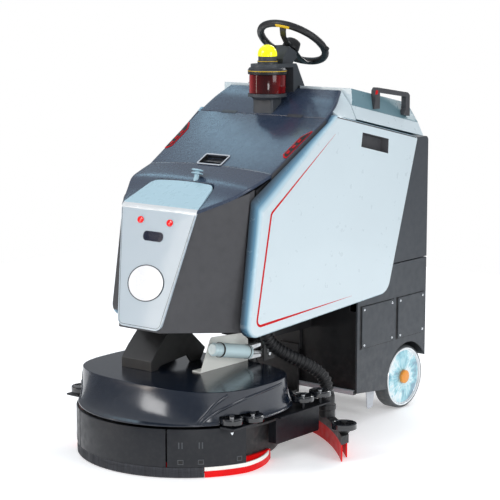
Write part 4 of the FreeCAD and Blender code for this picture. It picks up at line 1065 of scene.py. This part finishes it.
def build_wheel():
    boss = [(28, -33), (31.5, -31), (32.5, -20), (31, -4), (29.5, 3.5), (26, 6.5), (14, 7.8),
            (0, 8)]
    spot = [(0, 0), (4.5, 0), (4.5, 1.6), (3.5, 2.6), (0, 2.8)]
    nub = [(11, 0), (10, 5), (7, 11), (3, 15.5), (0, 16.5)]
    mark = [[rim_point(angle, b, 0.7) for b in (-0.75, -1.1, -1.45, -1.8)]
            for angle in range(274, 299, 4)]
    parts = [painted(wheel_rim(), "black"),
             painted(lathe("boss", boss, WHEEL_AT, WHEEL_TURN, 56), "black")]
    parts += [painted(wheel_spoke(angle), "black") for angle in (82, 190, 285)]
    parts += [painted(grid("mark", mark), "yellow_ink"),
              painted(lathe("spot", spot, wheel_point(18, -40, 7), WHEEL_TURN, 24), "orange"),
              painted(lathe("nub", nub, wheel_point(136, 15, 0), WHEEL_TURN @ turned(90, "Y"), 24),
                      "black")]
    piece("wheel_skin", join("wheel_skin", parts), None, "steering", 0, ("steering_wheel",),
          angle=40)


# ---------------------------------------------------------------- running gear

def build_rear_wheels():
    tyre = [(115.4, 232), (118, 231.4), (122, 234), (124.6, 239), (125, 246), (125, 279),
            (124.6, 286), (122.6, 291), (119, 294.4), (116.4, 294.6), (115.4, 293.4)]
    rim = [(20, 232), (115, 232), (115, 293.4), (113.8, 295), (109, 295), (107.6, 293),
           (107.2, 289), (20, 286)]
    disc = [(18, 287), (26, 290.5), (46, 291.8), (76, 291.4), (99, 289.6), (107, 288.4)]
    cap = [(0, 290), (26, 290), (26, 299), (24, 301.8), (17, 303.6), (0, 304)]
    at = P(0, *REAR_AXLE)
    for side, sign in SIDES:
        body, turn = "rear_wheel_" + side, facing(sign)
        piece("tyre_" + side, lathe("tyre", tyre, at, turn, 128, ring=True), "tyre", body, 0,
              ("rear_tyre_" + side,), angle=28)
        parts = [painted(lathe("rim", rim, at, turn, 128, ring=True), "rim"),
                 painted(lathe("disc", disc, at, turn, 96), "foil"),
                 painted(lathe("cap", cap, at, turn, 56), "orange")]
        piece("hub_" + side, join("hub", parts), None, body, 0, ("rear_hub_" + side,),
              angle=30)
    soften("drive_tyre", "rubber", 3.0)


# ---------------------------------------------------------------- scrub deck

DECK_Y = -346
RING_RADIUS = 395       # the outside of the deck's ring panels
PANEL_EDGE, PANEL_END = 31, 71.9
BRISTLE_END = 49.6


def deck_point(r, angle, z):
    """A point about the deck's centre; angle from straight ahead, + to the right."""
    a = math.radians(angle)
    return P(r * math.sin(a), DECK_Y - r * math.cos(a), z)


def arc_slab(name, profile, start, end, steps=40):
    """A closed ring-shaped piece: (radius, height) profile swept from start to end."""
    return closed(name, [[deck_point(r, start + (end - start) * k / steps, z)
                          for r, z in profile] for k in range(steps + 1)])


def bristles():
    """A dark band with a row of slightly uneven tufts on its outside."""
    bed = [(388.6, 2.2), (393.0, 2.2), (393.4, 36.8), (388.6, 36.8)]
    random.seed(4)
    tufts = [painted(arc_slab("bed", bed, -BRISTLE_END, BRISTLE_END, 96), "bristle")]
    for sector in range(-98, 99):
        a = sector * 0.5 + random.uniform(-0.1, 0.1)
        if abs(abs(a) - 31.1) < 0.5:
            continue
        lean = random.uniform(-0.12, 0.12)
        rows = [[deck_point(393.2, a + d, 36.5) for d in (-0.13, 0.13)],
                [deck_point(394.9, a + lean + d, 20) for d in (-0.16, 0.16)],
                [deck_point(394.6, a + 1.6 * lean + d, 2.6 + random.uniform(0, 2.5))
                 for d in (-0.2, 0.2)]]
        tufts.append(painted(grid("tuft", rows), "bristle"))
    return join("bristle_skin", tufts)


def deck_marks():
    """Latch windows low on the panels, pairs of upright bars and one triangle at each side."""
    parts = []
    mid, wide, tall, inner_wide, inner_tall = 57, 10, 8.5, 7.6, 6.1

    def corners(a, half_wide, half_high, proud):
        d = math.degrees(half_wide / RING_RADIUS)
        return [deck_point(RING_RADIUS + proud, a + s * d, mid + t * half_high)
                for s, t in SQUARE]

    for a in (38, 48, 68, -38, -48, -68):
        rows = [corners(a, wide, tall, 0.1), corners(a, wide, tall, 1.0),
                corners(a, inner_wide, inner_tall, 1.0), corners(a, inner_wide, inner_tall, 0.1)]
        parts.append(painted(grid("latch", rows, around=True, loop=True), "cover"))
        parts.append(painted(one_face("pane", corners(a, inner_wide, inner_tall, 0.25)), "void"))
    proud = RING_RADIUS + 0.3
    for a in (37.2, 38.8, 47.2, 48.8, -37.2, -38.8, -47.2, -48.8):
        rows = [[deck_point(proud, a + d, z) for d in (-0.28, 0, 0.28)] for z in (104, 126)]
        parts.append(painted(grid("bar", rows), "cover"))
    for side, sign in SIDES:
        corners_3 = [deck_point(proud, sign * 64 + d, z)
                     for d, z in ((-0.9, 151), (0.9, 151), (0, 141))]
        parts.append(painted(one_face("triangle", corners_3), "screw"))
    return join("deck_marks", parts)


def build_deck():
    panel = [(388.2, 38), (388.2, 169), (390, 170), (392.2, 170), (394.2, 168.6), (395, 166),
             (395, 42), (394.2, 38.6), (392.6, 37.2), (389, 37.2)]
    gap = 0.4
    for node, start, end in (("deck_panel_front", gap - PANEL_EDGE, PANEL_EDGE - gap),
                             ("deck_panel_right", PANEL_EDGE + gap, PANEL_END),
                             ("deck_panel_left", -PANEL_END, -PANEL_EDGE - gap)):
        piece(node + "_skin", arc_slab(node, panel, start, end), "ring", "deck", 0, (node,),
              angle=24)
    piece("bristle_skin", bristles(), None, "deck", 0, ("bristle_strip",),
          curved=False)
    piece("deck_marks", deck_marks(), None, "deck", curved=False)
    soften("deck_plate", "black", 1.0)
    build_lip()
    soften("brush_motors", "bracket", 2.0)
    build_dome()
    for node, material, width in (("side_guard_", "ring", 1.2), ("brush_", "bristle", 1.0)):
        soften(node + "right", material, width)
        soften(node + "left", material, width)


def oval(angle):
    """Distance from the deck centre to the dome's top outline, angle from straight ahead."""
    a = math.radians(angle)
    x, y = math.sin(a), -math.cos(a)
    deep = 284 if y < 0 else 234
    return ((abs(x) / 372) ** 3 + (abs(y) / deep) ** 3) ** (-1 / 3)


def build_lip():
    inner = [(330, 0.6), (341, 0.6), (341, 39.5), (330, 39.5)]
    piece("lip_skin", arc_slab("lip_skin", inner, -100, 100, 90), "red", "deck", 0.8,
          ("splash_lip",))

    def radius(a):
        # under the panels at first, then drawn in beside the rear of the deck
        return 392.0 - 56.0 * min(1.0, max(0.0, (a - 72) / 29)) ** 1.3 if a <= 102 else 336.0

    for side, sign in SIDES:
        for name, low, high, inset, material in (("lip_blade_", 1.0, 23, 0.0, "red"),
                                                 ("lip_band_", 23, 36.6, 1.2, "sheet")):
            rows = []
            for k in range(45):
                a = 49.9 + 52 * k / 44
                r = radius(a) - inset
                rows.append([deck_point(r - 4, sign * a, low), deck_point(r, sign * a, low),
                             deck_point(r, sign * a, high), deck_point(r - 4, sign * a, high)])
            piece(name + side, closed(name, rows), material, "deck", angle=24)


DOME_FOOT = 386
# how far in the dome's side has come (0 to 1) at each height
DOME_SIDE = [(178, 0.0), (186, 0.12), (192, 0.22), (206, 0.4), (228, 0.6), (252, 0.78),
             (272, 0.9), (283, 0.965), (290, 1.0)]


def dome_point(angle, z, ease, proud=0.0):
    """A point on the dome's side, ease of the way from its foot to its top outline."""
    return deck_point(DOME_FOOT + (oval(angle) - DOME_FOOT) * ease + proud, angle, z)


def dome_ease(z):
    for (a, va), (b, vb) in zip(DOME_SIDE, DOME_SIDE[1:]):
        if z <= b:
            return (va + (vb - va) * (z - a) / (b - a)) ** 0.85
    return 1.0


def dome_ridge(knots):
    """A low rounded ridge through (step, angle, height) knots on the dome's side."""
    rows = []
    for k in range(41):
        t = knots[-1][0] * k / 40
        a, z = spline(column(knots, 1), t), spline(column(knots, 2), t)
        row = []
        for step in range(9):
            b = math.pi * step / 8
            up, out = z - 5.5 * math.cos(b), 4.2 * math.sin(b) - 1.5
            row.append((a + 0.55 * math.cos(b), up, dome_ease(max(up, DOME_SIDE[0][0])), out))
        rows.append(row)
    return rows


def build_dome():
    angles = range(0, 360, 2)
    lip = [(386.5, 177.6), (388.3, 178.4), (388.9, 180.2), (388.2, 182.2), (386, 183.4)]
    rows = [[deck_point(r, a, z) for a in angles] for r, z in lip]
    levels = DOME_SIDE[1:-1] + [(287.4, 0.985), (289.6, 1.0)]
    rows += [[dome_point(a, z, t ** 0.85) for a in angles] for z, t in levels]
    rows += [[deck_point(max(oval(a) - inset, 20), a, 290) for a in angles]
             for inset in (3, 8, 40, 120)]
    dome = piece("dome_skin", closed("dome", rows), "dome", "deck", 0, ("deck_dome",),
                 angle=32)
    carved(dome, [lathe("pocket", [(42, 172), (42, 208)], P(sign * x, y, 0), steps=40)
                  for side, sign in SIDES for x, y, z in ROLLERS])
    lines = ([(0, 45, 179), (1, 50.5, 212), (2, 55.5, 248), (3, 62.5, 279)],
             [(0, 46.5, 180), (1, 57.5, 226), (2, 71.5, 258), (3, 85.5, 269), (4, 102.5, 277)])
    for side, sign in SIDES:
        ridges = [grid("ridge", [[dome_point(sign * a, z, ease, out) for a, z, ease, out in row]
                                 for row in dome_ridge(knots)]) for knots in lines]
        piece("dome_ridges_" + side, join("ridges", ridges), "dome", "deck", angle=60)


# ---------------------------------------------------------------- rollers and lift

# each deck roller's x, y and lower edge
ROLLERS = ((354, -520, 182), (383, -443, 182), (371, -146, 190), (374, -50, 190))
ROLLER = [(7, 0.5), (37, 0.5), (39.4, 2.0), (40, 5), (40, 17), (39.2, 20.2), (36.5, 22),
          (33.5, 21.2), (32, 18.8), (20, 18.2), (7, 18.2)]
END_ROLLER = [(8, 104.5), (43.4, 104.5), (45, 106), (45, 124), (43.4, 125.5), (38, 126),
              (36, 124.4), (8, 124.4)]
END_ROLLER_X = 517


def build_rollers():
    screw = [(7, -3), (7, 2), (6, 3.4), (3, 4), (0, 4)]
    collar = [(8, 100), (14, 100), (14, 103.5), (8, 103.5)]

    def roller(node, profile, at):
        piece(node + "_skin", lathe("roller", profile, at, ring=True), "black_gloss",
              "body_" + node, 0, (node,), angle=28)

    for side, sign in SIDES:
        for i, (x, y, low) in enumerate(ROLLERS, start=1):
            roller("roller_%s_%d" % (side, i), ROLLER, P(sign * x, y, low))
            # the screw heads take the white badge finish: a painted highlight standing in for the
            # glint on the metal
            piece("screw_%s_%d" % (side, i), lathe("screw", screw, P(sign * x, y, low + 22),
                                                   steps=32), "badge", "deck")
        at = P(sign * END_ROLLER_X, squeegee_y(END_ROLLER_X) + 4, 0)
        roller("squeegee_roller_" + side, END_ROLLER, at)
        piece("collar_" + side, lathe("collar", collar, at, steps=32, ring=True), "sheet",
              "squeegee")


def build_lift():
    def actuator(c, n):
        if c.y > -180:
            return "rim"
        return "bracket" if c.x < 105 and c.z < 345 else None

    soften("lift_bracket", "bracket", 1.4)
    soften("lift_stay", "sheet", 0.8)
    soften("lift_actuator", "metal", 1.2, chosen=actuator)
    base, slope = P(124, -352, 377), turned(-102.2)
    band = [(26.2, 37.5), (27.4, 37.8), (27.4, 44.2), (26.2, 44.5)]
    seam = [(26.1, 190), (26.9, 190.4), (26.9, 193.6), (26.1, 194)]
    for name, material, ring in (("actuator_band", "rubber", band),
                                 ("actuator_seam", "dark_ink", seam)):
        piece(name, lathe(name, ring, base, slope, 56, ring=True), material, "deck")


# ---------------------------------------------------------------- squeegee and hose

SQUEEGEE_MIDDLE, SQUEEGEE_SWEEP, SQUEEGEE_REACH = 162, 306, 557


def squeegee_y(x):
    return SQUEEGEE_MIDDLE - SQUEEGEE_SWEEP * (x / SQUEEGEE_REACH) ** 2


def blade(reach, middle, steps=60):
    """A thin rubber blade along the squeegee's curve, so far ahead of or behind it."""
    profile = [(-2, 1.2), (-1.2, 0.4), (1.2, 0.4), (2, 1.2), (2, 61), (-2, 61)]
    rows = []
    for k in range(steps + 1):
        x = reach * (2 * k / steps - 1)
        slope = -2 * SQUEEGEE_SWEEP * x / SQUEEGEE_REACH ** 2
        normal = Vector((-slope, 1)).normalized()
        rows.append([P(x + normal.x * (middle + o), squeegee_y(x) + normal.y * (middle + o), z)
                     for o, z in profile])
    return closed("blade", rows)


def build_squeegee():
    soften("squeegee_beam", "black", 1.4)
    piece("blade_front", blade(556, -12), "red", "squeegee", 0, ("squeegee_blades",),
          angle=24)
    piece("blade_rear", blade(520, 12), "red", "squeegee", angle=24)
    soften("suction_elbow", "black", 1.2)


HOSE_ROUTE = [(342, 38, 178), (341, 37, 212), (329, 22, 250), (300, -30, 294),
              (260, -94, 330), (227, -146, 372), (215, -178, 428), (215, -178, 486)]


def hose_line():
    """The points of a smooth curve along the hose's route, in metres."""
    line = bpy.data.curves.new("hose_line", "CURVE")
    line.dimensions = "3D"
    route = line.splines.new("NURBS")
    route.points.add(len(HOSE_ROUTE) - 1)
    for point, at in zip(route.points, HOSE_ROUTE):
        point.co = (*P(*at), 1)
    route.order_u = 3
    route.use_endpoint_u = True
    line.resolution_u = 24
    carrier = object_of("hose_line", line)
    bpy.context.view_layer.update()
    path = [v.co.copy() for v in bpy.data.meshes.new_from_object(carrier).vertices]
    bpy.data.objects.remove(carrier)
    return path


def evenly(path, steps):
    """A path's points again, at even distances."""
    lengths = [0.0]
    for a, b in zip(path, path[1:]):
        lengths.append(lengths[-1] + (b - a).length)
    out, i = [], 0
    for k in range(steps + 1):
        at = lengths[-1] * k / steps
        while i < len(path) - 2 and lengths[i + 1] < at:
            i += 1
        span = lengths[i + 1] - lengths[i]
        out.append(path[i].lerp(path[i + 1], (at - lengths[i]) / span if span else 0))
    return out


def build_hose():
    ribs, per_rib, sides = 26, 10, 28
    dense = evenly(hose_line(), ribs * per_rib)
    across = Vector((1, 0, 0))
    rows = []
    for k, (p, run) in enumerate(zip(dense, runs(dense))):
        across = (across - run * across.dot(run)).normalized()
        other = run.cross(across)
        wave = 0.5 + 0.5 * math.cos(2 * math.pi * k / per_rib)
        r = (20.4 + 4.5 * wave ** 1.6) * MM
        rows.append([p + across * (r * math.cos(2 * math.pi * j / sides))
                     + other * (r * math.sin(2 * math.pi * j / sides)) for j in range(sides)])
    mesh = painted(closed("hose", rows), "rubber")
    smooth(mesh, 60)
    hose = object_of("hose_skin", mesh)
    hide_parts("suction_hose")
    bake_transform(hose)


build_hose()
build_chassis()
build_tank()
build_panels()
build_front()
build_covers()
build_lid_fittings()
build_tower()
build_wheel()
build_rear_wheels()
build_deck()
build_rollers()
build_lift()
build_squeegee()
